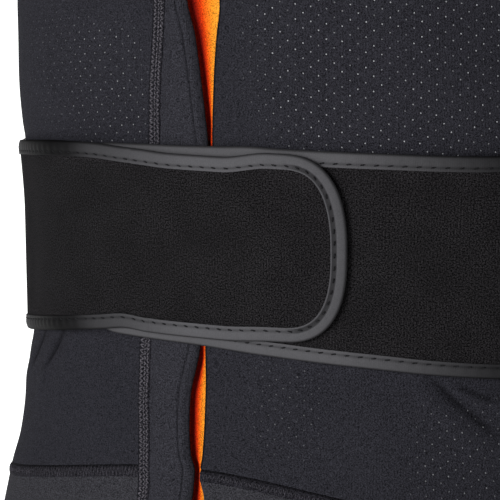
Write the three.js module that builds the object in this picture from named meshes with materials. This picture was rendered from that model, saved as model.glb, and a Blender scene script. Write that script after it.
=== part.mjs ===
// A sleeveless protective vest with a two-wing waist belt, in the form it has when worn.
// Millimetres, +Z up. The front faces -Y and the wearer's left is +X. The origin lies midway
// between the shoulder straps, level with the middle of the inner face of each strap.
import * as THREE from 'three';

// Driving sizes of the worn form, measured inside the cloth
const body_length = 590; // from the neck point down to the bottom hem
const chest_half_width = 173;
const chest_front_depth = 121; // from the side line forward
const chest_back_depth = 110; // from the side line back
const section_power = 2.3; // superellipse power of every level section

// Cloth of the vest
const cloth = 2; // wall of the bonded stretch cloth
const seam_gap = 0.3; // between pieces that meet edge to edge
const side_angle = 90; // where the side seams run, from the centre front
const neck_half_width = 78;
const neck_drop_front = 85; // below the inner end of the shoulder seam
const neck_drop_back = 20;
const neck_power = 2.1; // superellipse power of the neckline, seen from the front
const strap_tip_level = 30; // outer end of the shoulder seam
const armhole_depth = 175; // from the strap's tip down to the armpit
const armhole_reach_front = 26; // degrees forward of the side line
const armhole_reach_back = 24; // degrees behind the side line
const armhole_power = 2.5; // superellipse power of the armhole
const hem_band_side = 55; // height of the hem band at the side seams
const hem_arch = 24; // how much higher the band's seam rises at the centre front

// Placket and the opening beside it
const placket_width = 30;
const guard_cloth = 1.2;
const guard_gap = 0.6; // between the guard and the cloth over it
const guard_under_placket = 14;
const guard_under_panel = 12;
const guard_crown = 1.2; // how far the guard swells up into the opening

// Back pad, sewn between the layers of the back panel
const pad_thickness = 11;
const pad_half_width_top = 112;
const pad_half_width_waist = 92;
const pad_top_level = 70;
const pad_bottom_level = 505;
const pad_edge = 38; // width of the slope round the pad

// Waist belt
const wing_cloth = 2;
const tape = 0.5; // binding tape, folded round the wing's edge
const tape_gap = 0.3; // between the tape and the wing inside it
const binding_width = 6.6;
const fold_bevel = 0.6; // how far the folded edge is rounded over
const wing_half_height = 41; // of the tongue at the centre front
const wing_overlap = 70.5; // from the centre front to a wing's tip, along the belt
const tip_round = 28; // length of a wing's rounded end
const tip_power = 2.6; // superellipse power of the rounded end
const tip_flat = 0.24; // share of the half height left straight at the very tip
const belt_clearance = 1; // between the vest and the belt
const layer_gap = 0.4; // between the two wings where they overlap
const wing_ramp = 44; // length over which the top wing steps down to the vest
const belt_bridge = 36; // how far past the pad's edge the taut belt begins to lift

// Level sections: level is a share of body_length, the others of the chest sizes
const sections = [
  { level: 0.0, width: 0.405, front: 0.397, back: 0.527 },
  { level: 0.02, width: 0.595, front: 0.446, back: 0.582 },
  { level: 0.041, width: 0.786, front: 0.512, back: 0.645 },
  { level: 0.058, width: 0.925, front: 0.57, back: 0.691 },
  { level: 0.085, width: 0.994, front: 0.645, back: 0.764 },
  { level: 0.136, width: 1.029, front: 0.752, back: 0.845 },
  { level: 0.22, width: 1.023, front: 0.893, back: 0.945 },
  { level: 0.322, width: 1.0, front: 0.992, back: 1.0 },
  { level: 0.424, width: 0.938, front: 1.0, back: 0.964 },
  { level: 0.525, width: 0.868, front: 0.971, back: 0.927 },
  { level: 0.585, width: 0.871, front: 0.959, back: 0.918 },
  { level: 0.653, width: 0.858, front: 0.926, back: 0.909 },
  { level: 0.698, width: 0.848, front: 0.913, back: 0.918 },
  { level: 0.788, width: 0.84, front: 0.909, back: 0.945 },
  { level: 0.831, width: 0.858, front: 0.926, back: 0.982 },
  { level: 0.873, width: 0.876, front: 0.95, back: 1.027 },
  { level: 0.9, width: 0.903, front: 0.975, back: 1.064 },
  { level: 0.949, width: 0.94, front: 1.0, back: 1.118 },
  { level: 1.0, width: 0.965, front: 1.017, back: 1.164 },
];
const belt_share = 0.698; // the belt's middle, as a share of body_length

// Front opening: level is a share of body_length, the others of placket_width from the centre
// front. seam is the placket's inner seam, edge its free edge, panel the left panel's edge.
const opening = [
  { level: 0.14, seam: -0.93, edge: -0.05, panel: 0.08 },
  { level: 0.271, seam: -0.83, edge: -0.06, panel: 0.13 },
  { level: 0.373, seam: -0.65, edge: -0.1, panel: 0.28 },
  { level: 0.458, seam: -0.54, edge: -0.13, panel: 0.42 },
  { level: 0.52, seam: -0.57, edge: -0.07, panel: 0.44 },
  { level: 0.547, seam: -0.61, edge: 0.05, panel: 0.37 },
  { level: 0.592, seam: -0.7, edge: 0.16, panel: 0.29 },
  { level: 0.624, seam: -0.76, edge: 0.19, panel: 0.23 },
  { level: 0.698, seam: -0.92, edge: 0.1, panel: 0.14 },
  { level: 0.776, seam: -1.03, edge: -0.04, panel: 0.02 },
  { level: 0.815, seam: -1.04, edge: -0.19, panel: 0.04 },
  { level: 0.837, seam: -1.0, edge: -0.14, panel: 0.05 },
  { level: 0.863, seam: -0.96, edge: -0.03, panel: 0.03 },
  { level: 0.888, seam: -0.92, edge: -0.03, panel: 0.145 },
  { level: 1.0, seam: -0.94, edge: -0.06, panel: 0.1 },
];

// Edges of each wing above and below the belt's middle, as shares of wing_half_height, at
// angles that run from past the centre front (negative) round to the centre back
const under_wing_edges = [
  { angle: -40, above: 0.985, below: 1.05 },
  { angle: -24, above: 1.005, below: 1.06 },
  { angle: -10, above: 1.037, below: 1.07 },
  { angle: 0, above: 1.055, below: 1.08 },
  { angle: 7, above: 1.07, below: 1.095 },
  { angle: 14, above: 1.088, below: 1.115 },
  { angle: 20, above: 1.082, below: 1.13 },
  { angle: 38, above: 1.075, below: 1.19 },
  { angle: 50, above: 1.058, below: 1.25 },
  { angle: 59, above: 1.046, below: 1.29 },
  { angle: 90, above: 1.1, below: 1.37 },
  { angle: 135, above: 1.15, below: 1.41 },
  { angle: 180, above: 1.17, below: 1.41 },
];
const top_wing_edges = [
  { angle: -40, above: 1.05, below: 0.93 },
  { angle: -19, above: 1.055, below: 0.95 },
  { angle: -8, above: 0.985, below: 0.98 },
  { angle: 5, above: 0.98, below: 0.985 },
  { angle: 13, above: 0.995, below: 0.982 },
  { angle: 18, above: 1, below: 0.968 },
  { angle: 25, above: 1.012, below: 1.015 },
  { angle: 37, above: 0.98, below: 1.108 },
  { angle: 50, above: 0.887, below: 1.222 },
  { angle: 60, above: 0.813, below: 1.31 },
  { angle: 70, above: 0.75, below: 1.385 },
  { angle: 90, above: 0.82, below: 1.44 },
  { angle: 135, above: 1.1, below: 1.43 },
  { angle: 180, above: 1.17, below: 1.41 },
];

// Mesh steps
const front_columns = 13;
const back_columns = 11; // each side of the centre back
const lower_rows = 10; // from the hem seam up to the armpit
const upper_rows = 4; // from there up the centre line to the neckline
const neck_rows = 6; // along each quarter of the neckline
const armpit_dip = 50; // how much lower the row through the armpits is at the centre
const band_rows = 3;
const placket_columns = 3;
const belt_columns = 22; // from a wing's rounded end round to the centre back
const overlap_columns = 3; // from the centre front to the start of a rounded end
const tip_columns = 6;
const wing_rows = 5;
const curve_samples = 240; // for measuring along a curved edge
const halvings = 40; // of a span that is searched for a level

const degrees = 180 / Math.PI;

// Interpolation and small helpers

function monotoneCurve(rows, from, to) {
  // A cubic through the rows' values that never overshoots them
  const x = rows.map((row) => row[from]);
  const y = rows.map((row) => row[to]);
  const rise = x.slice(1).map((value, i) => (y[i + 1] - y[i]) / (value - x[i]));
  const slope = x.map((_, i) => {
    if (i === 0) return rise[0];
    if (i === x.length - 1) return rise[i - 1];
    if (rise[i - 1] * rise[i] <= 0) return 0;
    return (2 * rise[i - 1] * rise[i]) / (rise[i - 1] + rise[i]);
  });
  return (value) => {
    let i = 0;
    while (i < x.length - 2 && value > x[i + 1]) i += 1;
    const step = x[i + 1] - x[i];
    const t = (value - x[i]) / step;
    const near = y[i] * (1 + 2 * t) * (1 - t) ** 2 + y[i + 1] * t * t * (3 - 2 * t);
    return near + step * t * (1 - t) * (slope[i] * (1 - t) - slope[i + 1] * t);
  };
}

function smoothStep(t) {
  const clamped = Math.min(1, Math.max(0, t));
  return clamped * clamped * (3 - 2 * clamped);
}

function steps(count, start = 0, end = 1) {
  return Array.from({ length: count + 1 }, (_, i) => start + ((end - start) * i) / count);
}

function signedPower(value, power) {
  return Math.sign(value) * Math.abs(value) ** power;
}

// The worn form: a point for each angle round the body and level below the neck point

const sectionWidth = monotoneCurve(sections, 'level', 'width');
const sectionFront = monotoneCurve(sections, 'level', 'front');
const sectionBack = monotoneCurve(sections, 'level', 'back');

function sectionSizes(level) {
  const share = level / body_length;
  return {
    width: chest_half_width * sectionWidth(share),
    front: chest_front_depth * sectionFront(share),
    back: chest_back_depth * sectionBack(share),
  };
}

function ridgeLevel(x) {
  // The level at which the top of the shoulder is x wide of the centre, by halving
  let [high, low] = [0, strap_tip_level];
  for (let i = 0; i < halvings; i += 1) {
    const middle = (high + low) / 2;
    if (sectionSizes(middle).width < x) high = middle;
    else low = middle;
  }
  return low;
}

const neck_point_level = ridgeLevel(neck_half_width);
const strap_middle = (neck_half_width + sectionSizes(strap_tip_level).width) / 2;
const shoulder_drop = ridgeLevel(strap_middle); // level of the origin

function bodyPoint(angle, level) {
  const size = sectionSizes(level);
  const across = Math.sin(angle / degrees);
  const along = Math.cos(angle / degrees);
  const depth = along > 0 ? size.front : size.back;
  const sum =
    Math.abs(across / size.width) ** section_power + Math.abs(along / depth) ** section_power;
  const radius = sum ** (-1 / section_power);
  return new THREE.Vector3(radius * across, -radius * along, shoulder_drop - level);
}

function outward(angle, level) {
  const nudge = 0.05;
  const round = bodyPoint(angle + nudge, level).sub(bodyPoint(angle - nudge, level));
  const up = bodyPoint(angle, level - nudge).sub(bodyPoint(angle, level + nudge));
  return round.cross(up).normalize();
}

function offsetPoint(angle, level, height) {
  return bodyPoint(angle, level).addScaledVector(outward(angle, level), height);
}

function angleAt(x, level) {
  // The angle at which the front of the section passes x
  const size = sectionSizes(level);
  const share = Math.min(1, Math.abs(x) / size.width) ** section_power;
  return Math.atan2(x, size.front * (1 - share) ** (1 / section_power)) * degrees;
}

function backAngleAt(x, level) {
  const size = sectionSizes(level);
  const share = Math.min(1, Math.abs(x) / size.width) ** section_power;
  return 180 - Math.atan2(x, size.back * (1 - share) ** (1 / section_power)) * degrees;
}

function halfSeamAngle(level) {
  return (seam_gap / 2 / sectionSizes(level).width) * degrees;
}

// Thickness of the back, with the pad in it

function padHalfWidth(level) {
  const t = smoothStep((level - pad_top_level) / (belt_share * body_length - pad_top_level));
  return pad_half_width_top + (pad_half_width_waist - pad_half_width_top) * t;
}

function padShare(angle, level) {
  if (Math.cos(angle / degrees) >= 0) return 0;
  const inside = padHalfWidth(level) - Math.abs(bodyPoint(angle, level).x);
  const below = smoothStep((level - pad_top_level) / pad_edge);
  const above = smoothStep((pad_bottom_level - level) / pad_edge);
  return smoothStep(inside / pad_edge) * below * above;
}

function outerCloth(angle, level) {
  return cloth + pad_thickness * padShare(angle, level);
}

// Closed shells: a node holds a point on the inner face and one on the outer face

function shellNode(angle, level, inner, outer) {
  return { inner: offsetPoint(angle, level, inner), outer: offsetPoint(angle, level, outer) };
}

function closedShell(patches) {
  // Each patch is rows of nodes, rising upwards, with the angle growing along a row
  const points = [];
  const known = new Map();
  const triangles = [];
  const edges = new Map();
  const indexOf = (point) => {
    const key = point.toArray().map((value) => Math.round(value * 1e4)).join(' ');
    if (!known.has(key)) {
      known.set(key, points.length);
      points.push(point);
    }
    return known.get(key);
  };
  const face = (a, b, c) => {
    if (a !== b && b !== c && c !== a) triangles.push(a, b, c);
  };
  const quad = (a, b, c, d) => {
    face(a, b, c);
    face(a, c, d);
  };
  for (const patch of patches) {
    for (let i = 0; i < patch.length - 1; i += 1) {
      for (let j = 0; j < patch[i].length - 1; j += 1) {
        const corners = [patch[i][j], patch[i][j + 1], patch[i + 1][j + 1], patch[i + 1][j]];
        const outer = corners.map((node) => indexOf(node.outer));
        const inner = corners.map((node) => indexOf(node.inner));
        // Each four-sided facet is split along its shorter diagonal
        const [a, b, c, d] = corners.map((node) => node.outer);
        if (a.distanceTo(c) > b.distanceTo(d)) {
          quad(outer[1], outer[2], outer[3], outer[0]);
          quad(inner[3], inner[2], inner[1], inner[0]);
        } else {
          quad(...outer);
          quad(inner[0], inner[3], inner[2], inner[1]);
        }
        for (let k = 0; k < 4; k += 1) {
          const next = (k + 1) % 4;
          const twin = `${outer[next]} ${outer[k]}`;
          if (edges.has(twin)) edges.delete(twin);
          else edges.set(`${outer[k]} ${outer[next]}`, [outer[k], outer[next], inner[k], inner[next]]);
        }
      }
    }
  }
  for (const [outerA, outerB, innerA, innerB] of edges.values()) {
    quad(outerB, outerA, innerA, innerB);
  }
  return surface(points, triangles);
}

function surface(points, triangles) {
  const geometry = new THREE.BufferGeometry();
  geometry.setAttribute(
    'position',
    new THREE.Float32BufferAttribute(points.flatMap((point) => point.toArray()), 3),
  );
  geometry.setIndex(triangles);
  geometry.computeVertexNormals();
  return geometry;
}

function ruledPatch(left, right, columns) {
  // Cloth between two edges, each a list of places that rise together from the hem seam
  return left.map((start, i) =>
    steps(columns).map((t) => {
      const angle = start.angle + (right[i].angle - start.angle) * t;
      const level = start.level + (right[i].level - start.level) * t;
      const straight = left[0].level + (right[0].level - left[0].level) * t;
      const arch = hemSeamLevel(left[0].angle + (right[0].angle - left[0].angle) * t) - seam_gap / 2;
      const bent = level + (arch - straight) * (1 - i / (left.length - 1)) ** 2;
      return shellNode(angle, bent, 0, outerCloth(angle, bent));
    }),
  );
}

function evenly(curve, count) {
  // Places along a curve at equal distances over the body
  const fine = steps(curve_samples).map(curve);
  const length = [0];
  for (let i = 1; i < fine.length; i += 1) {
    const from = bodyPoint(fine[i - 1].angle, fine[i - 1].level);
    length.push(length[i - 1] + from.distanceTo(bodyPoint(fine[i].angle, fine[i].level)));
  }
  return steps(count, 0, length.at(-1)).map((wanted, k) => {
    if (k === 0) return fine[0];
    if (k === count) return fine.at(-1);
    const i = length.findIndex((value) => value >= wanted);
    const t = (wanted - length[i - 1]) / (length[i] - length[i - 1]);
    return {
      angle: fine[i - 1].angle + (fine[i].angle - fine[i - 1].angle) * t,
      level: fine[i - 1].level + (fine[i].level - fine[i - 1].level) * t,
    };
  });
}

// Edges and seams of the vest

const openingSeam = monotoneCurve(opening, 'level', 'seam');
const openingEdge = monotoneCurve(opening, 'level', 'edge');
const openingPanel = monotoneCurve(opening, 'level', 'panel');

const seamX = (level) => placket_width * openingSeam(level / body_length);
const placketX = (level) => placket_width * openingEdge(level / body_length);
const panelX = (level) => placket_width * openingPanel(level / body_length);

function hemSeamLevel(angle) {
  const forward = Math.max(0, Math.cos(angle / degrees));
  return body_length - hem_band_side - hem_arch * forward ** 2;
}

function neckLevel(x, drop) {
  const share = Math.min(1, Math.abs(x) / neck_half_width) ** neck_power;
  return neck_point_level + drop * (1 - share) ** (1 / neck_power);
}

function besideSeam(angle, level, facing) {
  // Keeps a place clear of the side line; facing is 1 on the front and -1 on the back
  return side_angle - facing * Math.max(halfSeamAngle(level), facing * (side_angle - angle));
}

function centreLevels(bottom, top) {
  const armpit_row = strap_tip_level + armhole_depth + armpit_dip;
  return [...steps(lower_rows, bottom, armpit_row).slice(0, -1), ...steps(upper_rows, armpit_row, top)];
}

function centreLine(xAt, bottom, toHem = false) {
  // Places up a line near the centre front to the neckline, from the hem seam or the hem
  const top = neckLevel(xAt(neckLevel(0, neck_drop_front)), neck_drop_front);
  const band = toHem ? steps(band_rows, body_length, bottom).slice(0, -1) : [];
  const levels = [...band, ...centreLevels(bottom, top)];
  return levels.map((level) => ({ angle: angleAt(xAt(level), level), level }));
}

function neckline(startX, side, drop, facing) {
  // From near the centre up to the shoulder seam; side is 1 for the wearer's left
  const start = Math.asin((Math.abs(startX) / neck_half_width) ** (neck_power / 2));
  const places = evenly((t) => {
    const turn = start + (Math.PI / 2 - start) * t;
    const x = neck_half_width * Math.sin(turn) ** (2 / neck_power);
    const level = neck_point_level + drop * Math.cos(turn) ** (2 / neck_power);
    const angle = facing > 0 ? angleAt(x, level) : backAngleAt(x, level);
    return { angle: besideSeam(angle, level, facing), level };
  }, neck_rows);
  return places.map(({ angle, level }) => ({ angle: side * angle, level }));
}

function armhole(facing, rows) {
  // From the armpit up to the strap's tip
  const middle = strap_tip_level + armhole_depth / 2;
  const reach = facing > 0 ? armhole_reach_front : armhole_reach_back;
  return evenly((t) => {
    const turn = -Math.PI / 2 + Math.PI * t;
    const level = middle - signedPower(Math.sin(turn), 2 / armhole_power) * (armhole_depth / 2);
    const angle = side_angle - facing * reach * Math.abs(Math.cos(turn)) ** (2 / armhole_power);
    return { angle: besideSeam(angle, level, facing), level };
  }, rows);
}

function sideEdge(facing, side) {
  // Up the side seam to the armpit and on round the armhole to the strap's tip
  const armpit = strap_tip_level + armhole_depth;
  const bottom = hemSeamLevel(side_angle) - seam_gap / 2;
  const seam = steps(lower_rows, bottom, armpit).map((level) => ({
    angle: besideSeam(side_angle, level, facing),
    level,
  }));
  const edge = [...seam, ...armhole(facing, upper_rows + neck_rows).slice(1)];
  return edge.map(({ angle, level }) => ({ angle: side * angle, level }));
}

// Vest pieces

function leftFrontPanel() {
  const bottom = hemSeamLevel(0) - seam_gap / 2;
  const centre = centreLine(panelX, bottom);
  const neck = neckline(panelX(neckLevel(0, neck_drop_front)), 1, neck_drop_front, 1);
  const inner = [...centre, ...neck.slice(1)];
  return closedShell([ruledPatch(inner, sideEdge(1, 1), front_columns)]);
}

function rightFrontPanel() {
  const seam = (level) => seamX(level) - seam_gap / 2;
  const bottom = hemSeamLevel(angleAt(seam(body_length), body_length)) - seam_gap / 2;
  const centre = centreLine(seam, bottom);
  const neck = neckline(seam(neckLevel(0, neck_drop_front)), -1, neck_drop_front, 1);
  const inner = [...centre, ...neck.slice(1)];
  return closedShell([ruledPatch(sideEdge(1, -1), inner, front_columns)]);
}

function strip(left, right, columns) {
  // Cloth between two lines that stand at the same levels
  return left.map((start, i) =>
    steps(columns).map((t) => {
      const angle = start.angle + (right[i].angle - start.angle) * t;
      return shellNode(angle, start.level + (right[i].level - start.level) * t, 0, cloth);
    }),
  );
}

function placket() {
  const left = centreLine((level) => seamX(level) + seam_gap / 2, hemSeamLevel(0), true);
  const right = centreLine(placketX, hemSeamLevel(0), true);
  return closedShell([strip(left, right, placket_columns)]);
}

function zipGuard() {
  // A strip behind the opening, sewn under the left panel, that swells into the opening
  const rows = centreLine(panelX, hemSeamLevel(0), true).map(({ level }) => {
    const edge = placketX(level);
    const panel = panelX(level);
    const crown = Math.min(guard_crown, (panel - edge) / 4);
    const places = [
      [edge - guard_under_placket, 0],
      [edge - seam_gap, 0],
      [(edge + panel) / 2, crown],
      [panel + seam_gap, 0],
      [panel + guard_under_panel, 0],
    ];
    return places.map(([x, rise]) => {
      const outer = rise - guard_gap;
      return shellNode(angleAt(x, level), level, outer - guard_cloth, outer);
    });
  });
  return closedShell([rows]);
}

function backPanel() {
  // Two halves that share their places down the centre back
  const bottom = hemSeamLevel(180) - seam_gap / 2;
  const levels = centreLevels(bottom, neckLevel(0, neck_drop_back));
  const centre = levels.map((level) => ({ angle: 180, level }));
  const neck = neckline(0, 1, neck_drop_back, -1).slice(1);
  const mirrored = ({ angle, level }) => ({ angle: 360 - angle, level });
  const left = ruledPatch(sideEdge(-1, 1), [...centre, ...neck], back_columns);
  const right = ruledPatch([...centre, ...neck.map(mirrored)], sideEdge(-1, 1).map(mirrored), back_columns);
  return closedShell([left, right]);
}

function hemBand(fromAngle, toAngle, columns) {
  // A band between the bottom hem and the hem seam; the ends are functions of level
  const rows = steps(band_rows).map((t) =>
    steps(columns).map((s) => {
      const start = fromAngle(body_length);
      const angle = start + (toAngle(body_length) - start) * s;
      const level = body_length + (hemSeamLevel(angle) + seam_gap / 2 - body_length) * t;
      const low = fromAngle(level);
      const place = low + (toAngle(level) - low) * s;
      return shellNode(place, level, 0, outerCloth(place, level));
    }),
  );
  return closedShell([rows]);
}

// Waist belt: places on it are (distance along the belt from the centre front, height above
// the belt's middle), both in millimetres, laid on the vest

const belt_level = belt_share * body_length;

function beltLength() {
  // Distance along the belt for each whole half degree, from the centre front to the back
  const table = [{ angle: 0, along: 0 }];
  for (let angle = 0.5; angle <= 180; angle += 0.5) {
    const from = bodyPoint(angle - 0.5, belt_level);
    const along = table.at(-1).along + from.distanceTo(bodyPoint(angle, belt_level));
    table.push({ angle, along });
  }
  return table;
}

const belt_table = beltLength();
const half_girth = belt_table.at(-1).along;

function beltAngle(along) {
  const distance = Math.min(Math.abs(along), half_girth);
  const i = Math.max(1, belt_table.findIndex((row) => row.along >= distance));
  const low = belt_table[i - 1];
  const high = belt_table[i];
  const angle = low.angle + ((high.angle - low.angle) * (distance - low.along)) / (high.along - low.along);
  return Math.sign(along || 1) * angle;
}

function bridgeShare(angle) {
  // The taut belt leaves the sides before the pad's edge and lies flat on the pad
  if (Math.cos(angle / degrees) >= 0) return 0;
  const inside = padHalfWidth(belt_level) + belt_bridge - Math.abs(bodyPoint(angle, belt_level).x);
  return smoothStep(inside / (pad_edge + belt_bridge));
}

function beltPoint(along, above, height) {
  const angle = beltAngle(along);
  const seat = cloth + pad_thickness * bridgeShare(angle) + belt_clearance;
  return offsetPoint(angle, belt_level - above, seat + height);
}

const binding_thickness = wing_cloth + 2 * (tape + tape_gap);

function liftOfTopWing(along) {
  // Over the under wing it rides one layer higher; past that wing's tip it steps down
  const past = -along - wing_overlap - binding_width;
  return (binding_thickness + layer_gap) * (1 - smoothStep(past / wing_ramp));
}

function wingOutline(edges, side) {
  // Upper and lower edge places, from the centre back to the tip. side is 1 for the wing
  // that comes round the wearer's left.
  const above = monotoneCurve(edges, 'angle', 'above');
  const below = monotoneCurve(edges, 'angle', 'below');
  const start = wing_overlap - tip_round;
  const straight = [
    ...steps(belt_columns, half_girth - seam_gap / 2, wing_overlap).slice(0, -1),
    ...tipStations().toReversed().slice(0, -1),
    ...steps(2 * overlap_columns, start, -start),
  ];
  const column = (distance, share) => {
    const angle = beltAngle(distance);
    return {
      along: side * distance,
      upper: wing_half_height * above(angle) * share,
      lower: -wing_half_height * below(angle) * share,
    };
  };
  const round = tipStations().slice(1).map((distance) => {
    const t = (distance - start) / tip_round;
    const reach = (1 - tip_flat ** tip_power) ** (1 / tip_power);
    return column(-distance, (1 - (t * reach) ** tip_power) ** (1 / tip_power));
  });
  return [...straight.map((distance) => column(distance, 1)), ...round];
}

function tipStations() {
  // Distances from the centre front at which a rounded end is cut, closer towards the tip
  const start = wing_overlap - tip_round;
  return steps(tip_columns).map((t) => start + tip_round * Math.sin((t * Math.PI) / 2));
}

function outlinePath(outline) {
  // Once round the wing from the centre back, with the outward direction at each place
  const upper = outline.map(({ along, upper: above }) => new THREE.Vector2(along, above));
  const lower = outline.map(({ along, lower: above }) => new THREE.Vector2(along, above));
  const path = [...upper, ...lower.toReversed()];
  const turn = Math.sign(outline.at(-1).along - outline[0].along);
  const normalOf = (from, to) => {
    const run = to.clone().sub(from).normalize();
    return new THREE.Vector2(-run.y, run.x).multiplyScalar(turn);
  };
  return path.map((place, i) => {
    const before = normalOf(path[Math.max(0, i - 1)], path[Math.max(1, i)]);
    const after = normalOf(path[Math.min(i, path.length - 2)], path[Math.min(i + 1, path.length - 1)]);
    const out = before.clone().add(after).normalize();
    return { place, out: out.divideScalar(out.dot(after)) };
  });
}

function wing(edges, side, lift) {
  // The flat of the wing, just inside its folded binding
  const path = outlinePath(wingOutline(edges, side));
  const inset = tape + tape_gap;
  const edge = path.map(({ place, out }) => place.clone().addScaledVector(out, -inset));
  const count = edge.length / 2;
  const rows = steps(wing_rows).map((t) =>
    steps(count - 1, 0, count - 1).map((i) => {
      const place = edge[2 * count - 1 - i].clone().lerp(edge[i], t);
      const low = lift(place.x) + inset;
      const high = low + wing_cloth;
      return { inner: beltPoint(place.x, place.y, low), outer: beltPoint(place.x, place.y, high) };
    }),
  );
  return closedShell([side > 0 ? rows.map((row) => row.toReversed()) : rows]);
}

function binding(edges, side, lift) {
  // Folded tape: a channel round the wing's edge. The profile is (distance in from the outer
  // edge, height over the channel's underside).
  const roof = binding_thickness - tape;
  const profile = [
    [binding_width, binding_thickness],
    [fold_bevel, binding_thickness],
    [0, binding_thickness - 1.5 * fold_bevel],
    [0, 1.5 * fold_bevel],
    [fold_bevel, 0],
    [binding_width, 0],
    [binding_width, tape],
    [tape, tape],
    [tape, roof],
    [binding_width, roof],
  ];
  const path = outlinePath(wingOutline(edges, side));
  const rings = path.map(({ place, out }) =>
    profile.map(([inward, height]) => {
      const at = place.clone().addScaledVector(out, -inward);
      return beltPoint(at.x, at.y, height + lift(at.x));
    }),
  );
  const caps = [
    [0, 1, 8],
    [0, 8, 9],
    [1, 2, 8],
    [2, 7, 8],
    [2, 3, 7],
    [3, 4, 7],
    [4, 6, 7],
    [4, 5, 6],
  ];
  return sweptShell(rings, caps, side < 0);
}

function sweptShell(rings, caps, turned) {
  // Joins like rings along a path; caps are the triangles that close each end
  const count = rings[0].length;
  const triangles = [];
  const face = (a, b, c) => (turned ? triangles.push(a, c, b) : triangles.push(a, b, c));
  for (let i = 0; i < rings.length - 1; i += 1) {
    for (let k = 0; k < count; k += 1) {
      const next = (k + 1) % count;
      const [a, b] = [i * count + k, i * count + next];
      const [c, d] = [b + count, a + count];
      face(a, b, c);
      face(a, c, d);
    }
  }
  const last = (rings.length - 1) * count;
  for (const [a, b, c] of caps) {
    face(a, c, b);
    face(last + a, last + b, last + c);
  }
  return surface(rings.flat(), triangles);
}

// Materials and assembly

const shellCloth = new THREE.MeshStandardMaterial({ color: 0x33333a, roughness: 0.85, metalness: 0 });
const beltCloth = new THREE.MeshStandardMaterial({ color: 0x18171a, roughness: 0.95, metalness: 0 });
const bindingTape = new THREE.MeshStandardMaterial({ color: 0x5a5b5f, roughness: 0.6, metalness: 0 });
const guardCloth = new THREE.MeshStandardMaterial({ color: 0xf07a18, roughness: 0.75, metalness: 0 });

const vest = new THREE.Group();

function add(name, geometry, material) {
  const mesh = new THREE.Mesh(geometry, material);
  mesh.name = name;
  vest.add(mesh);
}

const flatLift = () => 0;
const bandStart = (level) => angleAt(panelX(level), level);
const bandSeam = (level) => angleAt(seamX(level) - seam_gap / 2, level);
const leftSide = (level) => side_angle - halfSeamAngle(level);
const backLeft = (level) => side_angle + halfSeamAngle(level);

add('left_front_panel', leftFrontPanel(), shellCloth);
add('right_front_panel', rightFrontPanel(), shellCloth);
add('placket', placket(), shellCloth);
add('zip_guard', zipGuard(), guardCloth);
add('back_panel', backPanel(), shellCloth);
add('left_hem_band', hemBand(bandStart, leftSide, front_columns), shellCloth);
add('right_hem_band', hemBand((level) => -leftSide(level), bandSeam, front_columns), shellCloth);
add('back_hem_band', hemBand(backLeft, (level) => 360 - backLeft(level), 2 * back_columns), shellCloth);
add('under_wing', wing(under_wing_edges, 1, flatLift), beltCloth);
add('under_wing_binding', binding(under_wing_edges, 1, flatLift), bindingTape);
add('top_wing', wing(top_wing_edges, -1, liftOfTopWing), beltCloth);
add('top_wing_binding', binding(top_wing_edges, -1, liftOfTopWing), bindingTape);

export default vest;
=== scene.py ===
import math

import bpy
import numpy as np
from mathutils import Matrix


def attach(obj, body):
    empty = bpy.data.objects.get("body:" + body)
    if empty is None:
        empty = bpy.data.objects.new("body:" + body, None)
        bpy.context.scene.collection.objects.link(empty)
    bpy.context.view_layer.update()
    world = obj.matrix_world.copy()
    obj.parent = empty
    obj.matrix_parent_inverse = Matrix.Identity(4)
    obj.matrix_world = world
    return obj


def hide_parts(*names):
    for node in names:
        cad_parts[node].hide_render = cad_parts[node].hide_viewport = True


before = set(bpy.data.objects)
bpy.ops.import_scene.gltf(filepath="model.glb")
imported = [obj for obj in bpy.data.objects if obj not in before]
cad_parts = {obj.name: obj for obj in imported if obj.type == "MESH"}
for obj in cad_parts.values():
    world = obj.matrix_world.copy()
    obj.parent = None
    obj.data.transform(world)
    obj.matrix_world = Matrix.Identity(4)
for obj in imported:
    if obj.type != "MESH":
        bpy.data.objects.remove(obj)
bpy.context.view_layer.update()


# Front panels
# Two halves of bonded stretch jersey, cut to the body and joined by flatlock seams. The left
# one ends at the front slit. Each is knitted in fine wales, and punched with small breathing
# holes over the ribs and the hip. The folds lie where the waist belt pulls the cloth in.

body_length = 0.590  # from the neck point down to the bottom hem
chest_half_width = 0.173
chest_front_depth = 0.121
chest_back_depth = 0.110
section_power = 2.3
cloth = 0.002
seam_gap = 0.0003
neck_half_width = 0.078
neck_drop_front = 0.085
neck_power = 2.1
strap_tip_level = 0.030
armhole_depth = 0.175
armhole_reach_front = 26
armhole_power = 2.5
armpit_dip = 0.050
hem_band_side = 0.055
hem_arch = 0.024
placket_width = 0.030
fold_back = 0.0009  # how far the placket's folded edge stands back from its line
armhole_radius = 0.17  # of the body at the armholes

# level as a share of the length, then half width, front depth and back depth as shares
sections = np.array([
    (0.0, 0.405, 0.397, 0.527),
    (0.02, 0.595, 0.446, 0.582),
    (0.041, 0.786, 0.512, 0.645),
    (0.058, 0.925, 0.57, 0.691),
    (0.085, 0.994, 0.645, 0.764),
    (0.136, 1.029, 0.752, 0.845),
    (0.22, 1.023, 0.893, 0.945),
    (0.322, 1.0, 0.992, 1.0),
    (0.424, 0.938, 1.0, 0.964),
    (0.525, 0.868, 0.971, 0.927),
    (0.585, 0.871, 0.959, 0.918),
    (0.653, 0.858, 0.926, 0.909),
    (0.698, 0.848, 0.913, 0.918),
    (0.788, 0.84, 0.909, 0.945),
    (0.831, 0.858, 0.926, 0.982),
    (0.873, 0.876, 0.95, 1.027),
    (0.9, 0.903, 0.975, 1.064),
    (0.949, 0.94, 1.0, 1.118),
    (1.0, 0.965, 1.017, 1.164),
])

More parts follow.
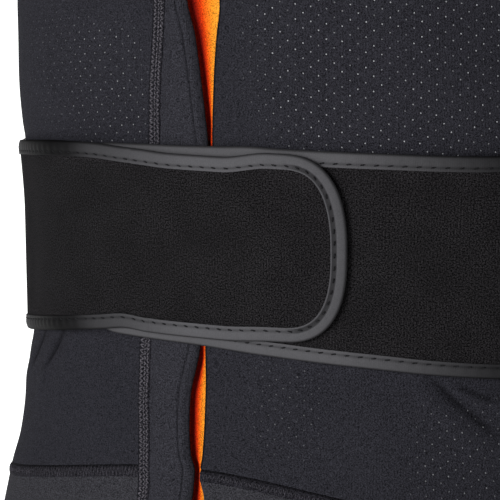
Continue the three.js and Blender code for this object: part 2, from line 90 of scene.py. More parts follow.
# level as a share of the length, then the placket's seam, the placket's free edge and the left
# panel's edge as shares of placket_width from the centre front
slit = np.array([
    (0.14, -0.93, -0.05, 0.08),
    (0.271, -0.83, -0.06, 0.13),
    (0.373, -0.65, -0.1, 0.28),
    (0.458, -0.54, -0.13, 0.42),
    (0.52, -0.57, -0.07, 0.44),
    (0.547, -0.61, 0.05, 0.37),
    (0.592, -0.7, 0.16, 0.29),
    (0.624, -0.76, 0.19, 0.23),
    (0.698, -0.92, 0.1, 0.14),
    (0.776, -1.03, -0.04, 0.02),
    (0.815, -1.04, -0.19, 0.04),
    (0.837, -1.0, -0.17, 0.055),
    (0.855, -0.97, -0.12, 0.05),
    (0.868, -0.955, -0.03, 0.02),
    (0.888, -0.92, -0.03, 0.145),
    (1.0, -0.94, -0.06, 0.1),
])


def monotone_curve(x, knots, values):
    """Cubic through the knots whose slope at each is the harmonic mean of its two neighbours'
    rises, or nought at a peak, so that it never overshoots."""
    step = np.diff(knots)
    rise = np.diff(values) / step
    both = rise[:-1] * rise[1:]
    total = rise[:-1] + rise[1:]
    mean = np.where(both > 0, 2 * both / np.where(both > 0, total, 1), 0)
    slope = np.concatenate([rise[:1], mean, rise[-1:]])
    i = np.clip(np.searchsorted(knots, x, side="right") - 1, 0, len(knots) - 2)
    t = (x - knots[i]) / step[i]
    ease = values[i] * (1 + 2 * t) * (1 - t) ** 2 + values[i + 1] * t * t * (3 - 2 * t)
    return ease + step[i] * t * (1 - t) * (slope[i] * (1 - t) - slope[i + 1] * t)


def smooth_step(t):
    """Rises from 0 to 1 as t goes from 0 to 1, level at both ends."""
    t = np.clip(t, 0, 1)
    return t * t * (3 - 2 * t)


def section_sizes(level):
    """Half width, front depth and back depth of the body at each level."""
    share = np.asarray(level, float) / body_length
    width = chest_half_width * monotone_curve(share, sections[:, 0], sections[:, 1])
    front = chest_front_depth * monotone_curve(share, sections[:, 0], sections[:, 2])
    back = chest_back_depth * monotone_curve(share, sections[:, 0], sections[:, 3])
    return width, front, back


def ridge_level(x):
    """The level at which the shoulder's top is x wide of the centre, read off the ridge."""
    levels = np.linspace(0, strap_tip_level, 2001)
    return float(np.interp(x, section_sizes(levels)[0], levels))


neck_point_level = ridge_level(neck_half_width)
strap_middle = (neck_half_width + section_sizes(strap_tip_level)[0]) / 2
shoulder_drop = ridge_level(strap_middle)


def body_point(angle, level):
    """Point of the body at an angle in degrees from the centre front, growing towards the
    wearer's left, and a level below the neck point: a superellipse on every level."""
    width, front, back = section_sizes(level)
    across = np.sin(np.radians(angle))
    along = np.cos(np.radians(angle))
    depth = np.where(along > 0, front, back)
    total = np.abs(across / width) ** section_power + np.abs(along / depth) ** section_power
    radius = total ** (-1 / section_power)
    height = shoulder_drop - np.asarray(level) + 0 * radius
    return np.stack([radius * across, -radius * along, height], -1)


def unit(vectors):
    """Each vector at length one."""
    return vectors / np.maximum(np.linalg.norm(vectors, axis=-1, keepdims=True), 1e-12)


def outward(angle, level):
    """Unit normal of the body: the cross product of the step round it and the step up it."""
    round_it = body_point(angle + 0.05, level) - body_point(angle - 0.05, level)
    up = body_point(angle, level - 0.00005) - body_point(angle, level + 0.00005)
    return unit(np.cross(round_it, up))


def on_body(angle, level, height):
    """Point that stands off the pulled-in body by height along its normal."""
    angle, level = np.broadcast_arrays(np.asarray(angle, float), np.asarray(level, float))
    height = np.asarray(height) - belt_sink * belt_pull(angle) * (1 - clear_of_belt(angle, level))
    return body_point(angle, level) + outward(angle, level) * height[..., None]


def angle_at(x, level):
    """Angle at which the front of the section passes x."""
    width, front, _ = section_sizes(level)
    share = np.minimum(1, np.abs(x) / width) ** section_power
    return np.degrees(np.arctan2(x, front * (1 - share) ** (1 / section_power)))


def back_angle_at(x, level):
    """Angle at which the back of the section passes x."""
    width, _, back = section_sizes(level)
    share = np.minimum(1, np.abs(x) / width) ** section_power
    return 180 - np.degrees(np.arctan2(x, back * (1 - share) ** (1 / section_power)))


def placket_seam(level):
    return placket_width * monotone_curve(level / body_length, slit[:, 0], slit[:, 1])


def placket_edge(level):
    return placket_width * monotone_curve(level / body_length, slit[:, 0], slit[:, 2]) - fold_back


def panel_edge(level):
    return placket_width * monotone_curve(level / body_length, slit[:, 0], slit[:, 3])


def hem_seam_level(angle):
    """The hem band's seam: level at the back and sides, arched by a squared cosine in front."""
    forward = np.maximum(0, np.cos(np.radians(angle)))
    return body_length - hem_band_side - hem_arch * forward**2


def neck_level(x, drop):
    """The neckline, a quarter superellipse on each side as seen from the front."""
    share = np.minimum(1, np.abs(x) / neck_half_width) ** neck_power
    return neck_point_level + drop * (1 - share) ** (1 / neck_power)


def beside_seam(angle, level, facing, clear):
    """Keeps an angle clear of the side line, on the front for facing 1 and the back for -1."""
    gap = np.degrees(clear / section_sizes(level)[0])
    return 90 - facing * np.maximum(gap, facing * (90 - angle))


def evenly(angle, level, count):
    """The curve through these places, cut at count + 1 places an equal way apart."""
    points = body_point(angle, level)
    length = np.concatenate([[0], np.cumsum(np.linalg.norm(np.diff(points, axis=0), axis=1))])
    wanted = np.linspace(0, length[-1], count + 1)
    return np.interp(wanted, length, angle), np.interp(wanted, length, level)


# The mesh rows of a panel: from the hem seam to the armpit, from there to the neckline's start,
# and along the neckline to the shoulder
lower_rows, upper_rows, neck_rows = 146, 34, 36
edge_inset = seam_gap / 2 + cloth / 2  # the rounded rim takes up the rest


def graded(count, middle, half, extra):
    """count + 1 shares from 0 to 1, closer together round the middle by the extra factor."""
    fine = np.linspace(0, 1, 2001)
    weight = 1 + extra * np.exp(-(((fine - middle) / half) ** 4))
    total = np.concatenate([[0], np.cumsum((weight[1:] + weight[:-1]) / 2)])
    return np.interp(np.linspace(0, 1, count + 1) * total[-1], total, fine)


fold_rows = graded(lower_rows, 0.15, 0.12, 2.2)  # closest where the hips' folds lie


def centre_levels(bottom, top):
    """Levels up the centre line, through the row that runs to the armpits."""
    armpit_row = strap_tip_level + armhole_depth + armpit_dip
    lower = (bottom + (armpit_row - bottom) * fold_rows)[:-1]
    return np.concatenate([lower, np.linspace(armpit_row, top, upper_rows + 1)])


def neckline(start_x, side, drop, facing):
    """Places from near the centre up to the shoulder's ridge, half the cloth's thickness
    outside the neckline for the rim; side is 1 on the wearer's left."""
    wide = neck_half_width + cloth / 2
    ridge = ridge_level(wide)
    start = math.asin((abs(start_x) / wide) ** (neck_power / 2))
    turn = np.linspace(start, math.pi / 2, 400)
    x = wide * np.sin(turn) ** (2 / neck_power)
    deep = neck_point_level + drop + cloth / 2 - ridge
    level = ridge + deep * np.abs(np.cos(turn)) ** (2 / neck_power)
    angle = angle_at(x, level) if facing > 0 else back_angle_at(x, level)
    angle, level = evenly(beside_seam(angle, level, facing, edge_inset), level, neck_rows)
    return side * angle, level


def armhole(facing, reach, rows):
    """Places from the armpit up to the strap's tip, half a superellipse in angle and level."""
    turn = np.linspace(-math.pi / 2, math.pi / 2, 400)
    rise = np.sign(np.sin(turn)) * np.abs(np.sin(turn)) ** (2 / armhole_power)
    level = strap_tip_level + armhole_depth / 2 - rise * (armhole_depth / 2 + cloth / 2)
    away = reach * np.abs(np.cos(turn)) ** (2 / armhole_power) + np.degrees(cloth / 2 / armhole_radius)
    return evenly(beside_seam(90 - facing * away, level, facing, edge_inset), level, rows)


def side_edge(facing, reach):
    """Places up the side seam to the armpit and on round the armhole to the strap's tip."""
    armpit = strap_tip_level + armhole_depth + cloth / 2
    bottom = hem_seam_level(90) - edge_inset
    level = bottom + (armpit - bottom) * fold_rows
    angle = beside_seam(90 + 0 * level, level, facing, edge_inset)
    hole_angle, hole_level = armhole(facing, reach, upper_rows + neck_rows)
    return np.concatenate([angle, hole_angle[1:]]), np.concatenate([level, hole_level[1:]])


below_armpit = 0.6  # share of the hem's bend that has faded out by the armpit


def panel_grid(left, right, columns, shares=None):
    """Angles and levels of a cloth patch ruled between two edges at these shares of the way,
    its lowest row bent along the hem seam and the bend fading out upwards."""
    t = (np.linspace(0, 1, columns + 1) if shares is None else shares)[None, :]
    angle = left[0][:, None] * (1 - t) + right[0][:, None] * t
    level = left[1][:, None] * (1 - t) + right[1][:, None] * t
    arch = hem_seam_level(angle[:1]) - edge_inset - level[:1]
    above = np.linspace(below_armpit, 1, len(angle) - len(fold_rows))
    fade = 1 - np.concatenate([fold_rows * below_armpit, above])
    return angle, level + arch * fade[:, None] ** 2


# Soft folds: angle and level of both ends, half width, and height (negative for a hollow)
cloth_folds = [
    (-42.0, 0.4590, -48.5, 0.4765, 0.0019, -0.0015),
    (-38.5, 0.464, -43.0, 0.482, 0.0042, 0.0006),
    (-46.0, 0.462, -51.0, 0.488, 0.0036, 0.0006),
    (-49.8, 0.4600, -56.5, 0.4785, 0.0019, -0.0010),
    (-54.0, 0.464, -63.0, 0.490, 0.0042, 0.0006),
    (-70.0, 0.470, -84.0, 0.500, 0.0060, 0.0012),
    (49.7, 0.467, 58.7, 0.487, 0.0019, -0.0012),
    (48.0, 0.473, 56.0, 0.492, 0.0042, 0.0009),
    (52.5, 0.464, 63.0, 0.481, 0.0036, 0.0011),
    (54.0, 0.4685, 59.0, 0.4745, 0.0017, -0.0009),
    (70.0, 0.474, 86.0, 0.505, 0.0060, -0.0014),
    (24.0, 0.466, 20.0, 0.500, 0.0090, 0.0006),
    (-22.0, 0.330, -27.0, 0.372, 0.0090, 0.0007),
    (62.0, 0.330, 72.0, 0.366, 0.0080, -0.0012),
    (70.0, 0.322, 82.0, 0.360, 0.0070, 0.0011),
    (-66.0, 0.330, -78.0, 0.366, 0.0080, -0.0012),
    (84.0, 0.215, 58.0, 0.262, 0.0080, -0.0016),
    (84.0, 0.232, 64.0, 0.285, 0.0080, 0.0012),
    (-84.0, 0.215, -58.0, 0.262, 0.0080, -0.0016),
    (-84.0, 0.232, -64.0, 0.285, 0.0080, 0.0012),
    (98.0, 0.218, 118.0, 0.262, 0.0080, -0.0014),
    (-98.0, 0.218, -118.0, 0.262, 0.0080, -0.0014),
    (112.0, 0.352, 128.0, 0.330, 0.0070, 0.0012),
    (-112.0, 0.352, -130.0, 0.326, 0.0070, 0.0012),
    (116.0, 0.480, 132.0, 0.505, 0.0060, -0.0012),
    (-116.0, 0.480, -130.0, 0.508, 0.0060, -0.0012),
    (46.0, 0.030, 60.0, 0.120, 0.0110, 0.0010),
    (-46.0, 0.030, -60.0, 0.120, 0.0110, 0.0010),
]
fold_scale = 0.0027  # metres round the body for one degree
sharp_fold = 0.002  # a hollow narrower than this reads as a crease
crease_dark = 0.75
belt_sink = 0.0006  # how far the belt presses the hips in

# How far the waist belt reaches above and below its middle, as shares of its half height, by
# the angle on the wing's own side; a minus angle lies past the centre front
belt_level = 0.698 * body_length
wing_half_height = 0.041
under_wing_edges = np.array([
    (-40, 0.985, 1.05),
    (-24, 1.005, 1.06),
    (-10, 1.037, 1.07),
    (0, 1.055, 1.08),
    (7, 1.07, 1.095),
    (14, 1.088, 1.115),
    (20, 1.082, 1.13),
    (38, 1.075, 1.19),
    (50, 1.058, 1.25),
    (59, 1.046, 1.29),
    (90, 1.1, 1.37),
    (135, 1.15, 1.41),
    (180, 1.17, 1.41),
])
top_wing_edges = np.array([
    (-40, 1.05, 0.93),
    (-19, 1.055, 0.95),
    (-8, 0.985, 0.98),
    (5, 0.98, 0.985),
    (13, 0.995, 0.982),
    (18, 1, 0.968),
    (25, 1.012, 1.015),
    (37, 0.98, 1.108),
    (50, 0.887, 1.222),
    (60, 0.813, 1.31),
    (70, 0.75, 1.385),
    (90, 0.82, 1.44),
    (135, 1.1, 1.43),
    (180, 1.17, 1.41),
])
tip_angle = 33  # the wings end this far past the centre front


def wing_edge(edges, angle, column):
    """Height of a wing's upper (1) or lower (2) edge over or under the belt's middle."""
    return wing_half_height * monotone_curve(np.clip(angle, -40, 180), edges[:, 0], edges[:, column])


def from_front(angle):
    """An angle brought to within half a turn of the centre front."""
    return (np.asarray(angle) + 180) % 360 - 180


def clear_of_belt(angle, level):
    """0 under the belt, rising to 1 within a centimetre outside its edges."""
    turned = from_front(angle)
    off = np.asarray(level) - belt_level
    reach = 0
    for edges, side in ((under_wing_edges, 1), (top_wing_edges, -1)):
        own = side * turned
        half = np.where(off < 0, wing_edge(edges, own, 1), wing_edge(edges, own, 2))
        reach = np.maximum(reach, np.where(own > -tip_angle, half, 0))
    return smooth_step((np.abs(off) - reach + 0.001) / 0.010)


def relief_kept(angle, level):
    """How much of its relief the cloth keeps: all of it outside the belt, a quarter under it."""
    return 0.25 + 0.75 * clear_of_belt(angle, level)


def belt_pull(angle):
    """How hard the belt pulls at this angle: fully at the hips, not at the front or the pad."""
    turned = from_front(angle)
    right_hip = smooth_step((-turned - 35) / 25) * smooth_step((125 + turned) / 25)
    left_hip = smooth_step((turned - 70) / 20) * smooth_step((125 - turned) / 25)
    return right_hip + left_hip


def fold_bell(fold, turned, level, narrow=1.0):
    """One fold: a bell across its own line that fades out at both ends."""
    start, low, end, high, width, _ = fold
    run = np.array([(end - start) * fold_scale, high - low])
    length = np.linalg.norm(run)
    run = run / length
    dx = (turned - start) * fold_scale
    dy = level - low
    along = (dx * run[0] + dy * run[1]) / length
    across = (dx * run[1] - dy * run[0]) / (width * narrow)
    ends = smooth_step((along + 0.35) / 0.5) * smooth_step((1.35 - along) / 0.5)
    return np.exp(-(across**2)) * ends


def fold_height(angle, level):
    """Sum of the folds and of two slow waves that keep the cloth from lying dead flat; nothing
    under the belt."""
    turned = from_front(angle)
    total = 0.00022 * np.sin(turned / 9.7 + level * 61) * np.sin(level * 97 - turned / 23)
    for fold in cloth_folds:
        total = total + fold[5] * fold_bell(fold, turned, level)
    return total * clear_of_belt(angle, level)


def crease_mask(angle, level):
    """How deep a place lies in the sharp hollows, which catch no light."""
    turned = from_front(angle)
    total = 0 * turned * level
    for fold in cloth_folds:
        if fold[5] < 0 and fold[4] < sharp_fold:
            total = np.maximum(total, crease_dark * fold_bell(fold, turned, level, 0.75))
    return total


def grid_faces(rows, columns, start=0):
    """Corner indices of the four-sided faces of a grid of rows + 1 by columns + 1 points."""
    i, j = np.meshgrid(np.arange(rows), np.arange(columns), indexing="ij")
    a = start + i * (columns + 1) + j
    return np.stack([a, a + 1, a + columns + 2, a + columns + 1], -1).reshape(-1, 4)


def new_piece(name, points, face_sets, material, uv=None, masks=()):
    """A smooth mesh object at the origin from points and arrays of faces, with its cloth
    coordinates in metres as its UV map and one attribute for each named mask."""
    mesh = bpy.data.meshes.new(name)
    corners = np.concatenate([faces.ravel() for faces in face_sets])
    used, corners = np.unique(corners, return_inverse=True)
    corners = corners.ravel().astype(np.int32)
    points = points[used]
    sizes = np.concatenate([np.full(len(faces), faces.shape[1]) for faces in face_sets])
    starts = np.concatenate([[0], np.cumsum(sizes)[:-1]]).astype(np.int32)
    mesh.vertices.add(points.size // 3)
    mesh.vertices.foreach_set("co", points.ravel().astype(np.float32))
    mesh.loops.add(len(corners))
    mesh.loops.foreach_set("vertex_index", corners)
    mesh.polygons.add(len(starts))
    mesh.polygons.foreach_set("loop_start", starts)
    mesh.update(calc_edges=True)
    mesh.validate()
    mesh.polygons.foreach_set("use_smooth", np.full(len(mesh.polygons), True))
    if uv is not None:
        layer = mesh.uv_layers.new(name="cloth")
        layer.data.foreach_set("uv", uv[used][corners].ravel().astype(np.float32))
    for mask_name, values in masks:
        layer = mesh.attributes.new(mask_name, "FLOAT", "POINT")
        layer.data.foreach_set("value", values[used].astype(np.float32))
    mesh.materials.append(material)
    piece = bpy.data.objects.new(name, mesh)
    bpy.context.collection.objects.link(piece)
    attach(piece, "root")
    return piece


rim_turns = (0.2, 0.4, 0.6, 0.8)  # shares of the half turn round a cloth edge


def cloth_piece(name, patches, material, masks=()):
    """Closed cloth from patches of (outer points, inner points, UV): both faces, joined round
    their free edge by a half circle that stands out past it by half the thickness. Patches
    that share points are welded there. Masks are lists with one array for each patch."""
    outer = np.concatenate([patch[0].reshape(-1, 3) for patch in patches])
    inner = np.concatenate([patch[1].reshape(-1, 3) for patch in patches])
    uv = np.concatenate([patch[2].reshape(-1, 2) for patch in patches])
    size = len(outer)
    faces, start = [], 0
    for patch in patches:
        rows, columns = patch[0].shape[0] - 1, patch[0].shape[1] - 1
        faces.append(grid_faces(rows, columns, start))
        start += (rows + 1) * (columns + 1)
    _, first, same = np.unique(np.round(outer * 1e6), axis=0, return_index=True, return_inverse=True)
    faces = first[same.ravel()][np.concatenate(faces)]
    begin = faces.ravel()
    stop = np.roll(faces, -1, axis=1).ravel()
    free = ~np.isin(begin * size + stop, stop * size + begin)
    begin, stop = begin[free], stop[free]
    after = np.zeros(size, int)
    before = np.zeros(size, int)
    after[begin] = stop
    before[stop] = begin
    tangent = unit(outer[after[begin]] - outer[before[begin]])
    half = (outer[begin] - inner[begin]) / 2
    radius = np.linalg.norm(half, axis=-1, keepdims=True)
    off_edge = unit(np.cross(tangent, half)) * radius
    middle = (outer[begin] + inner[begin]) / 2
    rings = [
        middle + half * math.cos(math.pi * t) + off_edge * math.sin(math.pi * t) for t in rim_turns
    ]
    count = len(begin)
    place = np.zeros(size, int)
    place[begin] = np.arange(count)
    onward = place[stop]
    lanes = [begin] + [2 * size + k * count + np.arange(count) for k in range(len(rings))]
    lanes.append(begin + size)
    rim = [np.stack([b, b[onward], a[onward], a], -1) for a, b in zip(lanes, lanes[1:])]

    def spread(values):
        return np.concatenate([values] * 2 + [values[begin]] * len(rings))

    all_masks = [("rim", np.concatenate([np.zeros(2 * size), np.ones(len(rings) * count)]))]
    for mask_name, parts in masks:
        all_masks.append((mask_name, spread(np.concatenate([np.ravel(part) for part in parts]))))
    points = np.concatenate([outer, inner] + rings)
    face_sets = [faces, faces[:, ::-1] + size] + rim
    return new_piece(name, points, face_sets, material, spread(uv), all_masks)


def new_group(name, inputs, outputs):
    """An empty shader node group; inputs and outputs are names with their socket kinds."""
    group = bpy.data.node_groups.new(name, "ShaderNodeTree")
    for label, kind, value in inputs:
        socket = group.interface.new_socket(label, in_out="INPUT", socket_type=kind)
        if value is not None:
            socket.default_value = value
    for label, kind in outputs:
        group.interface.new_socket(label, in_out="OUTPUT", socket_type=kind)
    return group, group.nodes.new("NodeGroupInput"), group.nodes.new("NodeGroupOutput")


def node(tree, kind, *feeds, **settings):
    """A node with its settings, its inputs fed in order: a socket is linked and a value set."""
    made = tree.nodes.new(kind)
    for key, value in settings.items():
        setattr(made, key, value)
    for place, feed in enumerate(feeds):
        if feed is None:
            continue
        if isinstance(feed, bpy.types.NodeSocket):
            tree.links.new(feed, made.inputs[place])
        else:
            made.inputs[place].default_value = feed
    return made


def maths(tree, operation, *feeds):
    """The value of one arithmetic step."""
    return node(tree, "ShaderNodeMath", *feeds, operation=operation).outputs[0]


def knit_group():
    """Wales of knitted loops: height is the arch of each wale times a lean to and fro along it,
    shade is the dark between wales, both from cloth coordinates in metres."""
    inputs = [("Cloth", "NodeSocketVector", None), ("Wale", "NodeSocketFloat", 0.0006)]
    outputs = [("Height", "NodeSocketFloat"), ("Shade", "NodeSocketFloat")]
    group, given, result = new_group("knitted loops", inputs, outputs)
    split = node(group, "ShaderNodeSeparateXYZ", given.outputs["Cloth"])
    across = maths(group, "DIVIDE", split.outputs[0], given.outputs["Wale"])
    up = maths(group, "DIVIDE", split.outputs[1], given.outputs["Wale"])
    place = maths(group, "FRACT", across)
    centred = maths(group, "ABSOLUTE", maths(group, "SUBTRACT", place, 0.5))
    arch = maths(group, "SUBTRACT", 1.0, maths(group, "MULTIPLY", centred, 2.0))
    leaned = maths(group, "ADD", maths(group, "MULTIPLY", up, 1.3), centred)
    loops = maths(group, "SINE", maths(group, "MULTIPLY", leaned, 2 * math.pi))
    loops = maths(group, "MULTIPLY_ADD", loops, 0.22, 0.78)
    height = maths(group, "MULTIPLY", maths(group, "POWER", arch, 0.6), loops)
    group.links.new(height, result.inputs["Height"])
    shade = maths(group, "MULTIPLY_ADD", height, 0.5, 0.62)
    group.links.new(shade, result.inputs["Shade"])
    return group


def mottle_group():
    """Broad and fine cloudiness of dyed cloth: two noises on object coordinates, centred on 1."""
    inputs = [("Broad", "NodeSocketFloat", 0.1), ("Fine", "NodeSocketFloat", 0.1)]
    group, given, result = new_group("cloth mottle", inputs, [("Shade", "NodeSocketFloat")])
    place = node(group, "ShaderNodeTexCoord").outputs["Object"]
    broad = node(group, "ShaderNodeTexNoise", place, None, 28.0, 2.0)
    fine = node(group, "ShaderNodeTexNoise", place, None, 1900.0, 1.0)
    broad_part = maths(group, "SUBTRACT", broad.outputs["Fac"], 0.5)
    fine_part = maths(group, "SUBTRACT", fine.outputs["Fac"], 0.5)
    broad_part = maths(group, "MULTIPLY", broad_part, given.outputs["Broad"])
    fine_part = maths(group, "MULTIPLY", fine_part, given.outputs["Fine"])
    total = maths(group, "ADD", maths(group, "ADD", broad_part, fine_part), 1.0)
    group.links.new(total, result.inputs["Shade"])
    return group


knitted_loops = knit_group()
cloth_mottle = mottle_group()


def use_group(tree, group, *feeds):
    """Places a shared node group in a material, its inputs fed in order."""
    return node(tree, "ShaderNodeGroup", *feeds, node_tree=group)


def new_material(name, roughness, **sockets):
    """An empty material: its tree and its shader, with the constant sockets set."""
    material = bpy.data.materials.new(name)
    material.use_nodes = True
    tree = material.node_tree
    shader = tree.nodes["Principled BSDF"]
    shader.inputs["Roughness"].default_value = roughness
    for socket, value in sockets.items():
        shader.inputs[socket.replace("_", " ")].default_value = value
    return material, tree, shader


def shaded(tree, colour, *shades):
    """A colour darkened or lightened by the product of its shades."""
    factor = shades[0]
    for shade in shades[1:]:
        factor = maths(tree, "MULTIPLY", factor, shade)
    return node(tree, "ShaderNodeVectorMath", colour, factor, operation="MULTIPLY").outputs[0]


def cloth_coordinates(tree):
    """The piece's own UV map, in metres along and up the cloth."""
    return node(tree, "ShaderNodeUVMap", uv_map="cloth").outputs[0]


def bump(tree, shader, height, distance, strength=1.0):
    """Feeds a height to the shader's normal."""
    made = node(tree, "ShaderNodeBump", strength, distance, None, height)
    tree.links.new(made.outputs[0], shader.inputs["Normal"])


hole_pitch_across = 0.0072
hole_pitch_up = 0.0064
hole_radius = 0.00031
hole_lean = 0.11  # how far a row of holes drops on its way out from the centre


def hole_lattice(tree, cloth_place):
    """Distance in metres from the nearest hole of two oblong lattices, one set in the middle of
    the other's cells, and a number that differs from hole to hole."""
    split = node(tree, "ShaderNodeSeparateXYZ", cloth_place)
    along = split.outputs[0]
    from_centre = maths(tree, "ABSOLUTE", along)
    up = maths(tree, "MULTIPLY_ADD", from_centre, hole_lean, split.outputs[1])
    distances, numbers = [], []
    for shift in (0.0, 0.5):
        across = maths(tree, "MULTIPLY_ADD", along, 1 / hole_pitch_across, shift)
        rise = maths(tree, "MULTIPLY_ADD", up, 1 / hole_pitch_up, shift)
        column = maths(tree, "SUBTRACT", maths(tree, "FRACT", across), 0.5)
        row = maths(tree, "SUBTRACT", maths(tree, "FRACT", rise), 0.5)
        x = maths(tree, "MULTIPLY", column, hole_pitch_across)
        y = maths(tree, "MULTIPLY", row, hole_pitch_up)
        squares = maths(tree, "ADD", maths(tree, "MULTIPLY", x, x), maths(tree, "MULTIPLY", y, y))
        distances.append(maths(tree, "SQRT", squares))
        whole = maths(tree, "FLOOR", across), maths(tree, "FLOOR", rise)
        cell = node(tree, "ShaderNodeCombineXYZ", *whole, shift)
        numbers.append(node(tree, "ShaderNodeTexWhiteNoise", cell.outputs[0]).outputs["Value"])
    nearest = maths(tree, "MINIMUM", *distances)
    first = maths(tree, "LESS_THAN", *distances)
    pick = node(tree, "ShaderNodeMix", first, data_type="FLOAT")
    tree.links.new(numbers[1], pick.inputs[2])
    tree.links.new(numbers[0], pick.inputs[3])
    return nearest, pick.outputs[0]


def attribute(tree, name):
    """The value of one of the piece's own masks."""
    return node(tree, "ShaderNodeAttribute", attribute_name=name).outputs["Fac"]


def ramp(tree, value, low, high, at_low, at_high):
    """Smooth change of a value between two limits."""
    made = node(tree, "ShaderNodeMapRange", value, low, high, at_low, at_high)
    made.interpolation_type = "SMOOTHSTEP"
    return made.outputs[0]


def jersey(name, colour, fine=3.2):
    """Charcoal jersey: knitted loops, dye mottle, and pale breathing holes with a dark rim
    wherever the piece's "holes" mask lets them through. The "groove" mask paints shade in
    creases, stitch grooves and along turned edges."""
    material, tree, shader = new_material(name, 0.8, Specular_IOR_Level=0.025)
    cloth_place = cloth_coordinates(tree)
    knit = use_group(tree, knitted_loops, cloth_place, 0.0007)
    mottle = use_group(tree, cloth_mottle, 0.22, fine)
    distance, number = hole_lattice(tree, cloth_place)
    chance = ramp(tree, number, 0.0, 0.9, 0.35, 1.0)
    let_through = maths(tree, "MULTIPLY", attribute(tree, "holes"), chance)
    hole = ramp(tree, distance, hole_radius * 0.6, hole_radius * 1.4, 1.0, 0.0)
    rim = ramp(tree, distance, hole_radius, hole_radius * 3.4, 1.0, 0.0)
    hole_part = maths(tree, "MULTIPLY", hole, let_through)
    rim_part = maths(tree, "MULTIPLY", rim, let_through)
    rim_shade = maths(tree, "MULTIPLY_ADD", rim_part, -0.28, 1.0)
    # Painted shade in creases, stitch grooves and along turned edges
    groove_shade = maths(tree, "MULTIPLY_ADD", attribute(tree, "groove"), -0.72, 1.0)
    base = shaded(
        tree, colour, knit.outputs["Shade"], mottle.outputs["Shade"], rim_shade, groove_shade
    )
    mixed = node(tree, "ShaderNodeMix", hole_part, data_type="RGBA")
    tree.links.new(base, mixed.inputs[6])
    mixed.inputs[7].default_value = (0.30, 0.305, 0.32, 1)
    tree.links.new(mixed.outputs[2], shader.inputs["Base Color"])
    grain = maths(tree, "MULTIPLY_ADD", mottle.outputs["Shade"], 0.8, knit.outputs["Height"])
    sunk = maths(tree, "MULTIPLY_ADD", rim_part, -1.1, grain)
    bump(tree, shader, sunk, 0.00022)
    return material


panel_jersey = jersey("panel_jersey", (0.0228, 0.0226, 0.0284))


map_level = 0.3 * body_length  # of the chest's section


def cloth_map(angle, level):
    """Cloth coordinates in metres: the way round the chest's section, and the way up."""
    turns = np.linspace(-360, 360, 2881)
    ring = body_point(turns, map_level)
    way = np.concatenate([[0], np.cumsum(np.linalg.norm(np.diff(ring, axis=0), axis=1))])
    way -= np.interp(0, turns, way)
    return np.stack([np.interp(angle, turns, way), -np.asarray(level) + 0 * angle], -1)


# Where the holes are punched: centre angle and level, half extents, how soft the edge is, and
# how clearly they show
hole_fields = [
    (48.0, 0.290, 35.0, 0.082, 0.25, 1.0),
    (-24.0, 0.347, 11.0, 0.0285, 0.3, 0.8),
    (-36.0, 0.343, 13.0, 0.026, 0.9, 0.35),
    (21.0, 0.480, 8.0, 0.020, 0.8, 0.3),
    (56.0, 0.500, 10.0, 0.024, 0.7, 0.6),
    (180.0, 0.060, 26.0, 0.032, 0.4, 0.8),
]


def hole_mask(angle, level):
    """How far the holes show: full inside each field's rounded box, fading over its soft edge."""
    total = np.zeros(np.broadcast(angle, level).shape)
    for middle, height, half_angle, half_level, soft, full in hole_fields:
        across = np.abs(from_front(np.asarray(angle) - middle)) / half_angle
        reach = (across**4 + (np.abs(level - height) / half_level) ** 4) ** 0.25
        total = np.maximum(total, full * smooth_step((1 + soft / 2 - reach) / soft))
    return total


def vest_piece(name, angle, level, material, lift=0, pressed=0):
    """A cloth piece on the body from its grid of angles and levels, with its folds, masks and
    cloth coordinates; lift is an extra height, and pressed a mask of painted shade along pressed-in
    lines."""
    raised = fold_height(angle, level) + lift
    outer = on_body(angle, level, cloth + raised)
    patch = (outer, on_body(angle, level, raised), cloth_map(angle, level))
    # The groove mask: painted shade in the sharp creases and along the pressed-in lines.
    groove = np.maximum(crease_mask(angle, level), pressed)
    masks = [("holes", [hole_mask(angle, level)]), ("groove", [groove])]
    return cloth_piece(name, [patch], material, masks)


front_columns = 110
edge_line = 0.0004  # width of the painted shade line along the slit's edge, where its fold turns under


def front_panel(name, x_at, clear, side):
    """The ruled patch between a panel's inner edge, kept clear of its line, and its side edge
    and armhole; side is 1 on the wearer's left."""
    top_x = float(x_at(np.array(neck_level(0, neck_drop_front)))) + clear
    top = neck_level(top_x, neck_drop_front) + cloth / 2
    bottom_angle = float(angle_at(x_at(np.array(body_length - hem_band_side)), body_length))
    level = centre_levels(hem_seam_level(bottom_angle) - edge_inset, top)
    angle = angle_at(x_at(level) + clear, level)
    neck = neckline(top_x, side, neck_drop_front, 1)
    inner = (np.concatenate([angle, neck[0][1:]]), np.concatenate([level, neck[1][1:]]))
    edge = side_edge(1, armhole_reach_front)
    edge = (side * edge[0], edge[1])
    shares = graded(front_columns, 0.57, 0.14, 2.0)
    shares = np.concatenate([[0, 0.0008, 0.0025, 0.0045], shares[1:]])
    if side > 0:
        angle, level = panel_grid(inner, edge, len(shares) - 1, shares)
    else:
        angle, level = panel_grid(edge, inner, len(shares) - 1, (1 - shares)[::-1])
    from_slit = body_point(angle, level)[..., 0] - panel_edge(level) - cloth / 2
    # Painted shade along the left panel's edge at the slit, where its fold turns under
    line = 0.95 * np.exp(-((from_slit / edge_line) ** 2)) * (side > 0)
    return vest_piece(name, angle, level, panel_jersey, 0, line)


left_front = front_panel("left_front", panel_edge, cloth / 2, 1)
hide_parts("left_front_panel")

right_front = front_panel("right_front", placket_seam, -edge_inset, -1)
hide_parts("right_front_panel")


# Placket
# The strip of doubled jersey between the front seam and the slit, down to the hem. It swells
# beside the seam, and a stitch line holds its folded edge flat.

placket_jersey = jersey("placket_jersey", (0.0295, 0.0292, 0.0360))
placket_columns = 44
placket_swell = 0.0015
edge_stitch_in = 0.0044  # the stitch line's distance in from the folded edge


